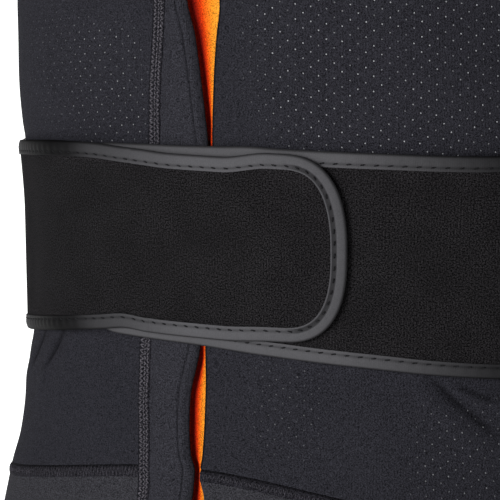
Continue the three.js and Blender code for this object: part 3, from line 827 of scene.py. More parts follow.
def strip_levels(x_at, clear):
    """Levels from the bottom hem to the neckline along a line near the centre front."""
    top_x = float(x_at(np.array(neck_level(0, neck_drop_front)))) + clear
    top = neck_level(top_x, neck_drop_front) + cloth / 2
    band = np.linspace(body_length - cloth / 2, hem_seam_level(0), 37)[:-1]
    return np.concatenate([band, centre_levels(hem_seam_level(0), top)])


def placket_rise(from_seam, from_edge, angle, level):
    """Height of the placket's swell: up beside the seam, a groove under the stitch line, and
    down again round the folded edge; pressed flat under the belt."""
    swell = placket_swell * smooth_step((from_seam - 0.0022) / 0.0045)
    swell -= 0.0004 * smooth_step((from_seam - 0.010) / 0.008)
    swell -= 0.00045 * np.exp(-(((from_edge - edge_stitch_in) / 0.0006) ** 2))
    swell -= 0.0009 * (1 - smooth_step(from_edge / 0.0032)) ** 1.5
    return swell * relief_kept(angle, level)


seam_level = strip_levels(placket_seam, edge_inset)
edge_level = strip_levels(placket_edge, -cloth / 2)
share = np.linspace(0, 1, placket_columns + 1)[None, :]
left_x = (placket_seam(seam_level) + edge_inset)[:, None]
right_x = (placket_edge(edge_level) - cloth / 2)[:, None]
strip_level = seam_level[:, None] * (1 - share) + edge_level[:, None] * share
strip_x = left_x * (1 - share) + right_x * share
strip_angle = angle_at(strip_x, strip_level)
rise = placket_rise(strip_x - left_x, right_x - strip_x, strip_angle, strip_level)
from_edge = right_x - strip_x
# Painted shade: a dark line in the stitch groove and a softer one where the folded edge rolls under
pressed = 0.85 * np.exp(-(((from_edge - edge_stitch_in) / 0.0004) ** 2))
pressed = np.maximum(pressed, 0.45 * np.exp(-((from_edge / 0.0012) ** 2)))
placket_piece = vest_piece("front_placket", strip_angle, strip_level, placket_jersey, rise, pressed)
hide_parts("placket")


# Slit guard
# The orange woven strip behind the slit, sewn under both edges. It lies deep beside the
# placket and comes up to the left panel's edge, and the placket's shadow is painted on it.

guard_cloth = 0.0012
guard_gap = 0.0006
guard_under_placket = 0.014
guard_under_panel = 0.012
guard_depth = 0.0017


def twill(name, colours):
    """Orange twill: fine slanting ribs over cloth coordinates with a soft mottle, its colour
    changing over the piece's "deep" mask through these (place, colour) stops, which paint the
    placket's shadow: lit orange at 0, shadowed dark red at 1."""
    material, tree, shader = new_material(name, 0.7, Specular_IOR_Level=0.05)
    blend = node(tree, "ShaderNodeValToRGB", attribute(tree, "deep"))
    while len(blend.color_ramp.elements) < len(colours):
        blend.color_ramp.elements.new(0.5)
    for stop, (place, colour) in zip(blend.color_ramp.elements, colours):
        stop.position = place
        stop.color = (*colour, 1)
    split = node(tree, "ShaderNodeSeparateXYZ", cloth_coordinates(tree))
    slant = maths(tree, "MULTIPLY_ADD", split.outputs[1], 0.75, split.outputs[0])
    ribs = maths(tree, "SINE", maths(tree, "MULTIPLY", slant, 2 * math.pi / 0.00085))
    yarn = maths(tree, "MULTIPLY_ADD", split.outputs[0], -0.9, split.outputs[1])
    yarns = maths(tree, "SINE", maths(tree, "MULTIPLY", yarn, 2 * math.pi / 0.0006))
    height = maths(tree, "MULTIPLY_ADD", yarns, 0.4, ribs)
    rib_shade = maths(tree, "MULTIPLY_ADD", height, 0.30, 0.83)
    mottle = use_group(tree, cloth_mottle, 0.28, 2.6)
    base = shaded(tree, blend.outputs[0], rib_shade, mottle.outputs["Shade"])
    tree.links.new(base, shader.inputs["Base Color"])
    bump(tree, shader, height, 0.00012)
    return material


# Painted shadow: lit orange at the left panel's edge, darkening to the red of the placket's shadow
# beside the placket.
guard_twill = twill("guard_twill", [
    (0.0, (1.0, 0.40, 0.04)),
    (0.3, (1.0, 0.31, 0.02)),
    (0.5, (1.0, 0.18, 0.012)),
    (0.7, (0.78, 0.052, 0.004)),
    (0.88, (0.36, 0.012, 0.003)),
    (1.0, (0.20, 0.006, 0.003)),
])

guard_level = strip_levels(panel_edge, 0)[:, None]
slit_left, slit_right = placket_edge(guard_level), panel_edge(guard_level)
guard_x = np.concatenate([
    slit_left - guard_under_placket * (1 - np.linspace(0, 0.96, 7)[None, :]),
    slit_left * (1 - np.linspace(0, 1, 17)[None, :]) + slit_right * np.linspace(0, 1, 17)[None, :],
    slit_right + guard_under_panel * np.linspace(0.04, 1, 5)[None, :],
], axis=1)
guard_level = guard_level + 0 * guard_x
guard_angle = angle_at(guard_x, guard_level)
open_width = np.maximum(slit_right - slit_left, 1e-4)
across_slit = np.clip((guard_x - slit_left) / open_width, 0, 1)
sag = np.minimum(guard_depth, open_width * 0.5) * (1 - across_slit) ** 2
sag = sag * smooth_step((guard_x - slit_left + 0.012) / 0.011)
guard_top = -guard_gap - sag * clear_of_belt(guard_angle, guard_level)
hidden = np.maximum(slit_left - guard_x, guard_x - slit_right)
# Painted shadow across the open slit, darkest beside the placket; hidden under the edges it settles at
# a middle value.
guard_painted_shadow = 1 - across_slit
guard_painted_shadow += (0.4 - guard_painted_shadow) * smooth_step((hidden - 0.001) / 0.004)
guard_piece = cloth_piece(
    "slit_guard",
    [(
        on_body(guard_angle, guard_level, guard_top),
        on_body(guard_angle, guard_level, guard_top - guard_cloth),
        cloth_map(guard_angle, guard_level),
    )],
    guard_twill,
    [("deep", [guard_painted_shadow])],
)
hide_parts("zip_guard")


# Back panel
# One piece of jersey over the whole back, doubled round a flat foam pad that runs from the
# shoulder blades to below the belt.

neck_drop_back = 0.020
armhole_reach_back = 24
pad_thickness = 0.011
pad_half_width_top = 0.112
pad_half_width_waist = 0.092
pad_top_level = 0.070
pad_bottom_level = 0.505
pad_edge = 0.038
back_columns = 48


def pad_half_width(level):
    t = smooth_step((level - pad_top_level) / (belt_level - pad_top_level))
    return pad_half_width_top + (pad_half_width_waist - pad_half_width_top) * t


def pad_share(angle, level):
    """The pad's height as a share of its thickness, falling off smoothly at its edges."""
    inside = pad_half_width(level) - np.abs(body_point(angle, level)[..., 0])
    below = smooth_step((level - pad_top_level) / pad_edge)
    above = smooth_step((pad_bottom_level - level) / pad_edge)
    behind = np.cos(np.radians(angle)) < 0
    return np.where(behind, smooth_step(inside / pad_edge) * below * above, 0)


def mirrored(edge):
    return 360 - edge[0], edge[1]


back_top = neck_level(0, neck_drop_back) + cloth / 2
back_level = centre_levels(hem_seam_level(180) - edge_inset, back_top)
back_neck = neckline(0, 1, neck_drop_back, -1)
back_centre = (np.full(len(back_level), 180.0), back_level)
back_inner = tuple(np.concatenate([a, b[1:]]) for a, b in zip(back_centre, back_neck))
back_outer = side_edge(-1, armhole_reach_back)
back_patches = [
    panel_grid(back_outer, back_inner, back_columns),
    panel_grid(mirrored(back_inner), mirrored(back_outer), back_columns),
]
made = []
for angle, level in back_patches:
    padded = pad_share(angle, level)
    wave = fold_height(angle, level) * (1 - 0.8 * padded)
    outer = on_body(angle, level, cloth + wave + pad_thickness * padded)
    made.append((outer, on_body(angle, level, wave * (1 - padded)), cloth_map(angle, level)))
back_holes = [hole_mask(angle, level) for angle, level in back_patches]
back_piece = cloth_piece("padded_back", made, panel_jersey, [("holes", back_holes)])
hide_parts("back_panel")


# Hem bands
# A doubled band of slightly paler jersey below the arched hem seam, in three pieces: from the
# slit and the placket's seam to the sides, and across the back.

band_rows = 34
band_jersey = jersey("band_jersey", (0.0365, 0.0360, 0.0420))


def hem_band(name, from_angle, to_angle, columns):
    """The patch between the bottom hem and the hem seam; its ends are functions of level."""
    s = np.linspace(0, 1, columns + 1)[None, :]
    t = np.linspace(0, 1, band_rows + 1)[:, None]
    low = np.array(body_length)
    hem_angle = from_angle(low) * (1 - s) + to_angle(low) * s
    top = hem_seam_level(hem_angle) + edge_inset
    level = (body_length - cloth / 2) * (1 - t) + top * t
    angle = from_angle(level) * (1 - s) + to_angle(level) * s
    return vest_piece(name, angle, level, band_jersey)


def left_side(level):
    """Angle of the left side line, kept clear of it on the front."""
    return 90 - np.degrees(edge_inset / section_sizes(level)[0])


left_band = hem_band(
    "left_hem", lambda level: angle_at(panel_edge(level) + cloth / 2, level), left_side, 104
)
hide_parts("left_hem_band")

right_band = hem_band(
    "right_hem",
    lambda level: -left_side(level),
    lambda level: angle_at(placket_seam(level) - edge_inset, level),
    92,
)
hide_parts("right_hem_band")

back_band = hem_band(
    "back_hem", lambda level: 180 - left_side(level), lambda level: 180 + left_side(level), 170
)
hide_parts("back_hem_band")


# Flatlock seams
# Raised seams with three columns of grey looped thread. They join placket and right panel, the
# bands to the panels, the front to the back at the sides, and the shoulders.

seam_rise = 0.00045
seam_ground = 0.0005  # thickness of a seam's ground
path_step = 0.0015
loop_pitch = 0.0021
loop_radius = 0.00036


def cloth_top(angle, level):
    """Height of the vest's outer face."""
    padded = pad_share(angle, level)
    return cloth + pad_thickness * padded + fold_height(angle, level) * (1 - 0.8 * padded)


def cloth_path(angle, level, top=cloth_top):
    """A path cut evenly at about path_step: its places on the cloth, outward normals (shorter
    under the belt, which presses seams flat), and directions to the right of its way."""
    length = np.linalg.norm(np.diff(body_point(angle, level), axis=0), axis=1).sum()
    angle, level = evenly(angle, level, max(6, round(length / path_step)))
    point = on_body(angle, level, top(angle, level))
    normal = outward(angle, level)
    sideways = unit(np.cross(unit(np.gradient(point, axis=0)), normal))
    return point, normal * relief_kept(angle, level)[:, None], sideways


def at_path(path, where, sideways, height):
    """Places beside a path: where counts its steps, sideways and height are in metres."""
    index = np.arange(len(path[0]))
    where = np.asarray(where, float)
    point, normal, side = (
        np.stack([np.interp(where, index, part[:, k]) for k in range(3)], -1) for part in path
    )
    return point + side * np.asarray(sideways)[..., None] + normal * np.asarray(height)[..., None]


def seam_strip(name, path, profile):
    """The raised ground of a seam: a closed strip along a path whose profile is (sideways,
    height, groove) from left to right; groove is painted shade in its low channels."""
    profile = np.array(profile)
    rows = np.arange(len(path[0]))[:, None] + 0 * profile[None, :, 0]
    sideways = profile[None, :, 0] + 0 * rows
    height = profile[None, :, 1] + 0 * rows
    outer = at_path(path, rows, sideways, height)
    inner = at_path(path, rows, sideways, height - seam_ground)
    uv = np.stack([sideways, rows * path_step], -1)
    groove = profile[None, :, 2] + 0 * rows
    return cloth_piece(name, [(outer, inner, uv)], seam_jersey, [("groove", [groove])])


thread_sides = 5
thread_flat = 0.75  # a thread's height as a share of its width
thread_tip = 0.55  # its width at both ends as a share of that between


def threads(name, lines, ups, radius, material):
    """Closed little tubes, thinner at both ends, one along each line; lines and ups are arrays
    of (thread, place, coordinate)."""
    along = unit(np.gradient(lines, axis=1))
    side = unit(np.cross(along, ups))
    up = np.cross(side, along)
    count, places, _ = lines.shape
    taper = np.ones(places)
    taper[[0, -1]] = thread_tip
    k = np.arange(thread_sides)
    turn = (k * 2 * math.pi / thread_sides)[:, None]
    ring = side[:, :, None] * np.cos(turn) + up[:, :, None] * np.sin(turn) * thread_flat
    points = lines[:, :, None] + ring * (radius * taper)[None, :, None, None]
    base = np.arange(count)[:, None, None] * places * thread_sides
    place = np.arange(places - 1)[None, :, None] * thread_sides
    a, b = base + place + k, base + place + (k + 1) % thread_sides
    sides = np.stack([b, a, a + thread_sides, b + thread_sides], -1).reshape(-1, 4)
    first = base[:, 0] + k
    last = base[:, 0] + (places - 1) * thread_sides + k[::-1]
    return new_piece(name, points.reshape(-1, 3), [sides, first, last], material)


def yarn(name, colour):
    """Spun thread: a dyed base with a fine mottle and a grainy bump."""
    material, tree, shader = new_material(name, 0.8, Specular_IOR_Level=0.08)
    mottle = use_group(tree, cloth_mottle, 0.2, 4.0)
    tree.links.new(shaded(tree, colour, mottle.outputs["Shade"]), shader.inputs["Base Color"])
    bump(tree, shader, mottle.outputs["Shade"], 0.0001)
    return material


seam_yarn = yarn("seam_yarn", (0.066, 0.062, 0.072))
seam_jersey = jersey("seam_jersey", (0.0250, 0.0240, 0.0300), 4.5)


def looped(path, centre, half, lift):
    """Lines of a column of zigzag loops along a path: each crosses the column from its left to
    its right and the next one crosses back, arched over the ground and a little uneven."""
    length = (len(path[0]) - 1) * path_step
    count = int(length / loop_pitch) * 2
    number = np.arange(count)[:, None]
    uneven = [np.sin(number * k + centre * 900) for k in (12.9898, 78.233, 37.719)]
    start = number * loop_pitch / 2 + 0.16 * loop_pitch * uneven[0]
    t = np.linspace(0, 1, 4)[None, :]
    swing = np.where(number % 2 == 0, t, 1 - t)
    where = (start + t * loop_pitch * (0.5 + 0.2 * uneven[1])) / path_step
    sideways = centre + half * (2 * swing - 1) * (1 + 0.3 * uneven[2]) + 0.2 * half * uneven[1]
    height = lift + (0.00026 + 0.00008 * uneven[1]) * np.sin(math.pi * t) + 0 * where
    ups = at_path(path, where, sideways, height + 0.001) - at_path(path, where, sideways, height)
    return at_path(path, where, sideways, height), unit(ups)


# The groove column is painted shade, darkest in the seam's low channels.
flatlock_profile = [
    (-0.0040, -0.0004, 0.2),
    (-0.0036, 0.00005, 0.75),
    (-0.0032, 0.0001, 0.75),
    (-0.0028, seam_rise, 0.25),
    (-0.0016, seam_rise, 0.3),
    (-0.0005, seam_rise, 0.4),
    (-0.0002, 0.0002, 0.7),
    (0.0002, seam_rise, 0.4),
    (0.0014, seam_rise, 0.3),
    (0.0025, seam_rise, 0.25),
    (0.0029, 0.0001, 0.45),
    (0.0034, -0.0004, 0.1),
]
loop_columns = ((-0.0017, 0.0009), (0.0002, 0.0005), (0.0018, 0.0007))  # middle, half width


def flatlock(name, angle, level):
    """A seam's ground and its loops of thread along a line on the vest."""
    path = cloth_path(angle, level)
    ground = seam_strip(f"{name}_ground", path, flatlock_profile)
    lines, ups = zip(*[looped(path, middle, half, seam_rise) for middle, half in loop_columns])
    threads(f"{name}_loops", np.concatenate(lines), np.concatenate(ups), loop_radius, seam_yarn)


level = strip_levels(placket_seam, 0)
flatlock("front_seam", angle_at(placket_seam(level), level), level)

side_level = np.linspace(body_length - 0.0005, strap_tip_level + armhole_depth + 0.002, 240)
shoulder_level = np.linspace(strap_tip_level - 0.001, neck_point_level + 0.001, 60)
for seam, level in (("side", side_level), ("shoulder", shoulder_level)):
    for side, angle in (("left", 90), ("right", -90)):
        flatlock(f"{side}_{seam}_seam", angle + 0 * level, level)

# The hem seams have one tall column of slanting stitches under a pressed line
ladder_yarn = yarn("ladder_yarn", (0.036, 0.034, 0.041))
# The groove column is painted shade, darkest along the low pressed line.
hem_profile = [
    (-0.0050, -0.0004, 0.1),
    (-0.0045, 0.0001, 0.3),
    (-0.0040, 0.0003, 0.3),
    (-0.0022, 0.0004, 0.35),
    (-0.0004, 0.0003, 0.45),
    (0.0001, 0.00005, 1.0),
    (0.0006, 0.00005, 1.0),
    (0.0011, -0.0004, 0.5),
]
ladder_column = (-0.0021, 0.0018)  # middle, half width
ladder_lift = 0.0003
ladder_radius = 0.00021


def hem_seam(name, from_angle, to_angle):
    """The ground and the ladder of stitches along part of the hem seam, left to right."""
    angle = np.linspace(from_angle, to_angle, 900)
    path = cloth_path(angle, hem_seam_level(angle))
    flipped = (path[0], path[1], -path[2])
    rows = [(-sideways, height, groove) for sideways, height, groove in hem_profile[::-1]]
    ground = seam_strip(f"{name}_ground", path, rows)
    lines, ups = looped(flipped, *ladder_column, ladder_lift)
    threads(f"{name}_ladder", lines, ups, ladder_radius, ladder_yarn)


under_seam = 1.2  # degrees from a side line to where a hem seam ends, under the side seam
slit_start = float(angle_at(panel_edge(np.array(0.51)), 0.51))
seam_stop = float(angle_at(placket_seam(np.array(0.515)) - 0.003, 0.515))
hem_seam("left_hem_seam", slit_start + 0.55, 90 - under_seam)
hem_seam("right_hem_seam", under_seam - 90, seam_stop)
hem_seam("back_hem_seam", 90 + under_seam, 270 - under_seam)


# Edge stitching
# The folded edges at the neck, the armholes, the bottom hem and the slit, and the pad's
# pocket, are each held by a row of short dark stitches.

hem_turn = 0.017
edge_turn = 0.007
edge_pitch = 0.0028
edge_stitch = 0.0020  # length of a stitch
stitch_lift = 0.0001
stitch_dip = 0.0003
stitch_yarn = yarn("stitch_yarn", (0.010, 0.010, 0.011))


def dashes(path):
    """Lines of single stitches along a path, each dipping into the cloth at both ends."""
    count = int((len(path[0]) - 1) * path_step / edge_pitch)
    start = (np.arange(count)[:, None] + 0.3) * edge_pitch
    t = np.linspace(0, 1, 4)[None, :]
    where = (start + t * edge_stitch) / path_step
    height = stitch_lift - stitch_dip * np.abs(2 * t - 1) ** 3 + 0 * where
    lines = at_path(path, where, 0 * where, height)
    return lines, unit(at_path(path, where, 0 * where, height + 0.001) - lines)


def stitch_rows(name, rows, radius=0.00022, top=cloth_top):
    """One piece of thread with a stitch row along each of these lines on the vest."""
    lines, ups = zip(*[dashes(cloth_path(angle, level, top)) for angle, level in rows])
    threads(name, np.concatenate(lines), np.concatenate(ups), radius, stitch_yarn)


def inward_of(edge, facing, distance):
    """A line on the vest this far inside an edge, measured over the cloth; facing is 1 where
    the cloth lies to the right of the way the edge runs."""
    angle, level = edge
    step_angle = np.gradient(angle) * section_sizes(level)[0] * math.pi / 180
    step_level = np.gradient(level)
    length = np.maximum(np.hypot(step_angle, step_level), 1e-9)
    aside = facing * distance * step_level / length
    return (
        angle - np.degrees(aside / section_sizes(level)[0]),
        level + facing * distance * step_angle / length,
    )


edges = [
    inward_of(armhole(facing, reach, 160), facing, edge_turn)
    for facing, reach in ((1, armhole_reach_front), (-1, armhole_reach_back))
]
rows = [(sign * angle[3:-3], level[3:-3]) for sign in (1, -1) for angle, level in edges]
stitch_rows("armhole_stitches", rows)

turn = np.linspace(-1, 1, 300)
wide = neck_half_width + edge_turn
rows = []
for drop, facing in ((neck_drop_front, 1), (neck_drop_back, -1)):
    x = wide * np.sin(turn * math.pi / 2)
    share = np.abs(x / wide) ** neck_power
    level = neck_point_level + (drop + edge_turn) * (1 - share) ** (1 / neck_power)
    keep = np.abs(x) < wide * 0.985
    x, level = x[keep], level[keep]
    if facing > 0:
        for part in (x > panel_edge(level) + 0.003, x < placket_edge(level) - 0.003):
            rows.append((angle_at(x[part], level[part]), level[part]))
    else:
        rows.append((back_angle_at(x, level), level))
stitch_rows("neck_stitches", rows)

rows = []
for up in (hem_turn, hem_turn + 0.003):
    angle = np.linspace(slit_start + 2, 360, 1500)
    angle = angle[angle < 360 + float(angle_at(placket_edge(np.array(0.575)) - 0.003, 0.575))]
    rows.append((angle, body_length - up + 0 * angle))
stitch_rows("bottom_stitches", rows)

level = edge_level[2:-2]
x = placket_edge(level) - edge_stitch_in


def placket_top(angle, level):
    """Height of the placket's face along its stitch line."""
    x = body_point(angle, level)[..., 0]
    rise = placket_rise(x - placket_seam(level), placket_edge(level) - x, angle, level)
    return cloth_top(angle, level) + rise


stitch_rows("placket_stitches", [(angle_at(x, level), level)], 0.00018, placket_top)

turn = np.linspace(0, 2 * math.pi, 900)
pocket_middle = (pad_top_level + pad_bottom_level) / 2
pocket_half = (pad_bottom_level - pad_top_level) / 2 + 0.006
rise = np.sign(np.sin(turn)) * np.abs(np.sin(turn)) ** 0.3
level = pocket_middle - rise * pocket_half
x = np.sign(np.cos(turn)) * np.abs(np.cos(turn)) ** 0.3 * (pad_half_width(level) + 0.006)
pocket = back_angle_at(np.abs(x), level)
stitch_rows("pocket_stitches", [(np.where(x >= 0, pocket, 360 - pocket), level)])


# Waist belt wings
# Two wings of black loop cloth with a short fuzzy pile. The one from the wearer's left passes
# underneath; the one from the right ends in a rounded tongue that closes on top of it.

wing_cloth = 0.002
tape = 0.0005
tape_gap = 0.0003
binding_width = 0.0066
binding_thickness = wing_cloth + 2 * (tape + tape_gap)
wing_overlap = 0.0705
tip_round = 0.028
tip_power = 2.6
belt_clearance = 0.001
belt_settle = 0.0003  # how much closer it lies where it pulls hardest
belt_thinned = 0.2  # and how much thinner it is stretched there
layer_gap = 0.0004
wing_ramp = 0.044
belt_bridge = 0.036
belt_turns = np.linspace(0, 180, 1441)
belt_steps = np.linalg.norm(np.diff(body_point(belt_turns, belt_level), axis=0), axis=1)
belt_way = np.concatenate([[0], np.cumsum(belt_steps)])
half_girth = belt_way[-1]


def belt_angle(along):
    """Angle of a place this far along the belt from the centre front."""
    return np.sign(along) * np.interp(np.abs(along), belt_way, belt_turns)


def bridge_share(angle):
    """How much of the pad's thickness the taut belt rides on: it leaves the sides before the
    pad's edge and lies flat on the pad."""
    inside = pad_half_width(belt_level) + belt_bridge - np.abs(body_point(angle, belt_level)[..., 0])
    behind = np.cos(np.radians(angle)) < 0
    return np.where(behind, smooth_step(inside / (pad_edge + belt_bridge)), 0)


def belt_point(along, above, height):
    """A place on the belt: along it, above its middle, and height over its seat."""
    angle = belt_angle(along)
    pull = belt_pull(angle)
    seat = cloth + pad_thickness * bridge_share(angle) + belt_clearance - belt_settle * pull
    return on_body(angle, belt_level - above, seat + height * (1 - belt_thinned * pull))


def top_lift(along):
    """The top wing rides one layer higher over the under wing and steps down past its tip."""
    past = -along - wing_overlap - binding_width
    return (binding_thickness + layer_gap) * (1 - smooth_step(past / wing_ramp))


def no_lift(along):
    return 0 * along


def waves(along, above):
    """Faint unevenness of the belt's cloth: two slow crossing waves."""
    return 0.00016 * np.sin(along * 61 + above * 40) + 0.00012 * np.sin(along * 147 - above * 93 + 1)


def tongue_share(distance):
    """Height of a wing at a distance past the centre front, as a share: full up to the start
    of the rounded end, then a superellipse."""
    t = np.clip((distance - wing_overlap + tip_round) / tip_round, 0, 1)
    return (1 - t**tip_power) ** (1 / tip_power)


def loop_cloth(name, colour):
    """Black loop pile: a fine tangled grain, faint upright ribs and worn, paler flecks."""
    material, tree, shader = new_material(name, 0.95, Specular_IOR_Level=0.03)
    place = cloth_coordinates(tree)
    split = node(tree, "ShaderNodeSeparateXYZ", place)
    ribs = maths(tree, "SINE", maths(tree, "MULTIPLY", split.outputs[0], 2 * math.pi / 0.0013))
    pile = node(tree, "ShaderNodeTexNoise", place, None, 1600.0, 2.0, 0.7)
    tufts = node(tree, "ShaderNodeTexVoronoi", place, None, 1300.0)
    patchy = node(tree, "ShaderNodeTexNoise", place, None, 45.0, 3.0, 0.6)
    grain = ramp(tree, pile.outputs["Fac"], 0.36, 0.66, 0.1, 2.2)
    rib_shade = maths(tree, "MULTIPLY_ADD", ribs, 0.13, 1.0)
    patch_shade = ramp(tree, patchy.outputs["Fac"], 0.3, 0.7, 0.88, 1.14)
    tree.links.new(shaded(tree, colour, grain, rib_shade, patch_shade), shader.inputs["Base Color"])
    height = maths(tree, "MULTIPLY_ADD", tufts.outputs["Distance"], -0.8, pile.outputs["Fac"])
    bump(tree, shader, height, 0.0006, 0.9)
    return material


def wing(name, edges, side, lift):
    """The flat of a wing, from the centre back to its end, just inside its folded binding."""
    inset = tape + tape_gap + wing_cloth / 2
    short = tip_round * (1 - np.cos(np.linspace(0, math.pi / 2, 26)))
    stop = (wing_overlap - inset - short)[::-1]
    distance = np.concatenate([np.linspace(half_girth - 0.001, -stop[0], 300)[:-1], -stop])
    own_angle = np.where(distance < 0, -1, 1) * belt_angle(np.abs(distance))
    full = tongue_share(np.maximum(-distance, 0) + inset)
    above = wing_edge(edges, own_angle, 1) * full - inset
    below = -wing_edge(edges, own_angle, 2) * full + inset
    t = np.linspace(0, 1, 25)[:, None]
    along = side * distance[None, :] + 0 * t
    up = below[None, :] * (1 - t) + above[None, :] * t
    if side > 0:
        along, up = along[:, ::-1], up[:, ::-1]
    low = lift(along) + tape + tape_gap + waves(along, up)
    patch = (
        belt_point(along, up, low + wing_cloth),
        belt_point(along, up, low),
        np.stack([along, up], -1),
    )
    piece = cloth_piece(name, [patch], wing_loops)
    return piece


wing_loops = loop_cloth("wing_loops", (0.0102, 0.0096, 0.0104))

under = wing("belt_under_wing", under_wing_edges, 1, no_lift)
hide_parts("under_wing")

tongue = wing("belt_top_wing", top_wing_edges, -1, top_lift)
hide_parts("top_wing")


# Belt bindings
# Grey satiny tape folded round each wing's edge, puckered a little, and held by one row of
# dark stitches near its inner edge.

binding_stitch_in = 0.0049
binding_pitch = 0.0056
binding_stitch = 0.0022
binding_thread = 0.00036
binding_step = 0.0009
binding_crown = 0.0042  # the rolled face rises over this width
strip_from, strip_to = 0.0038, 0.0061  # the sunken stitched strip round the tongue's end


def satin(name, colour):
    """Grey satin tape: fine cross ribs and a soft sheen. Its grey is painted reflection that the
    dark mask dims, and the groove mask paints shade.
    """
    material, tree, shader = new_material(name, 0.55, Specular_IOR_Level=0.025)
    split = node(tree, "ShaderNodeSeparateXYZ", cloth_coordinates(tree))
    ribs = maths(tree, "SINE", maths(tree, "MULTIPLY", split.outputs[0], 2 * math.pi / 0.0009))
    rib_shade = maths(tree, "MULTIPLY_ADD", ribs, 0.015, 1.0)
    mottle = use_group(tree, cloth_mottle, 0.3, 0.35)
    # Painted shade from the groove mask, and the painted reflection's falloff from the dark mask
    groove_shade = maths(tree, "MULTIPLY_ADD", attribute(tree, "groove"), -0.8, 1.0)
    dark_shade = maths(tree, "MULTIPLY_ADD", attribute(tree, "dark"), -0.95, 1.0)
    base = shaded(tree, colour, rib_shade, mottle.outputs["Shade"], groove_shade, dark_shade)
    tree.links.new(base, shader.inputs["Base Color"])
    bump(tree, shader, ribs, 0.00002)
    return material


# The grey is painted reflection at full strength; the dark mask takes most of it away.
binding_satin = satin("binding_satin", (0.070, 0.069, 0.074))


def wing_path(edges, side):
    """Once round a wing from the centre back, evenly cut: places (along, above) and unit
    directions out of the wing in that plane."""
    start = wing_overlap - tip_round
    straight = np.linspace(half_girth - 0.0003, -start, 1500)
    phi = np.linspace(0, math.pi / 2, 300)[1:]
    nose = -(start + tip_round * np.sin(phi) ** (2 / tip_power))
    distance = np.concatenate([straight, nose])
    full = np.concatenate([np.ones(len(straight)), np.abs(np.cos(phi)) ** (2 / tip_power)])
    own_angle = np.sign(distance) * belt_angle(np.abs(distance))
    upper = wing_edge(edges, own_angle, 1) * full
    lower = -wing_edge(edges, own_angle, 2) * full
    along = np.concatenate([distance, distance[-2::-1]])
    above = np.concatenate([upper, lower[-2::-1]])
    place = np.stack([side * along, above], -1)
    way = np.concatenate([[0], np.cumsum(np.linalg.norm(np.diff(place, axis=0), axis=1))])
    wanted = np.linspace(0, way[-1], round(way[-1] / binding_step) + 1)
    place = np.stack([np.interp(wanted, way, place[:, k]) for k in range(2)], -1)
    run = unit(np.gradient(place, axis=0))
    for _ in range(6):
        run[1:-1] = unit(run[:-2] + 2 * run[1:-1] + run[2:])
    return place, side * np.stack([run[:, 1], -run[:, 0]], -1), wanted


def crown_share(inward):
    """Height of the tape's rolled face over its middle: a quarter ellipse, then level."""
    t = np.clip(1 - inward / binding_crown, 0, 1)
    return np.sqrt(1 - t * t)


def binding_top(way, inward, creases):
    """Relief of the tape's face: a groove along the stitches, deepest at each stitch, puckers
    between them, a slow unevenness, and sharp creases across it at these places."""
    from_row = (inward - binding_stitch_in) / 0.0008
    beat = np.cos(2 * math.pi * (way / binding_pitch - 0.3 - binding_stitch / binding_pitch / 2))
    groove = -0.00028 * np.exp(-(from_row**2)) * (0.6 + 0.4 * beat)
    pucker = -0.00010 * beat * np.exp(-((inward - 0.0032) ** 2) / 0.0016**2)
    slow = 0.00012 * np.sin(way * 83) * np.sin(way * 31 + inward * 300)
    pinch = 0
    for middle in creases:
        off = (way - middle) / 0.0012
        pinch = pinch - 0.0005 * np.exp(-(off**2)) + 0.0003 * np.exp(-(((off - 2.2) / 1.5) ** 2))
    return groove + pucker + slow + pinch


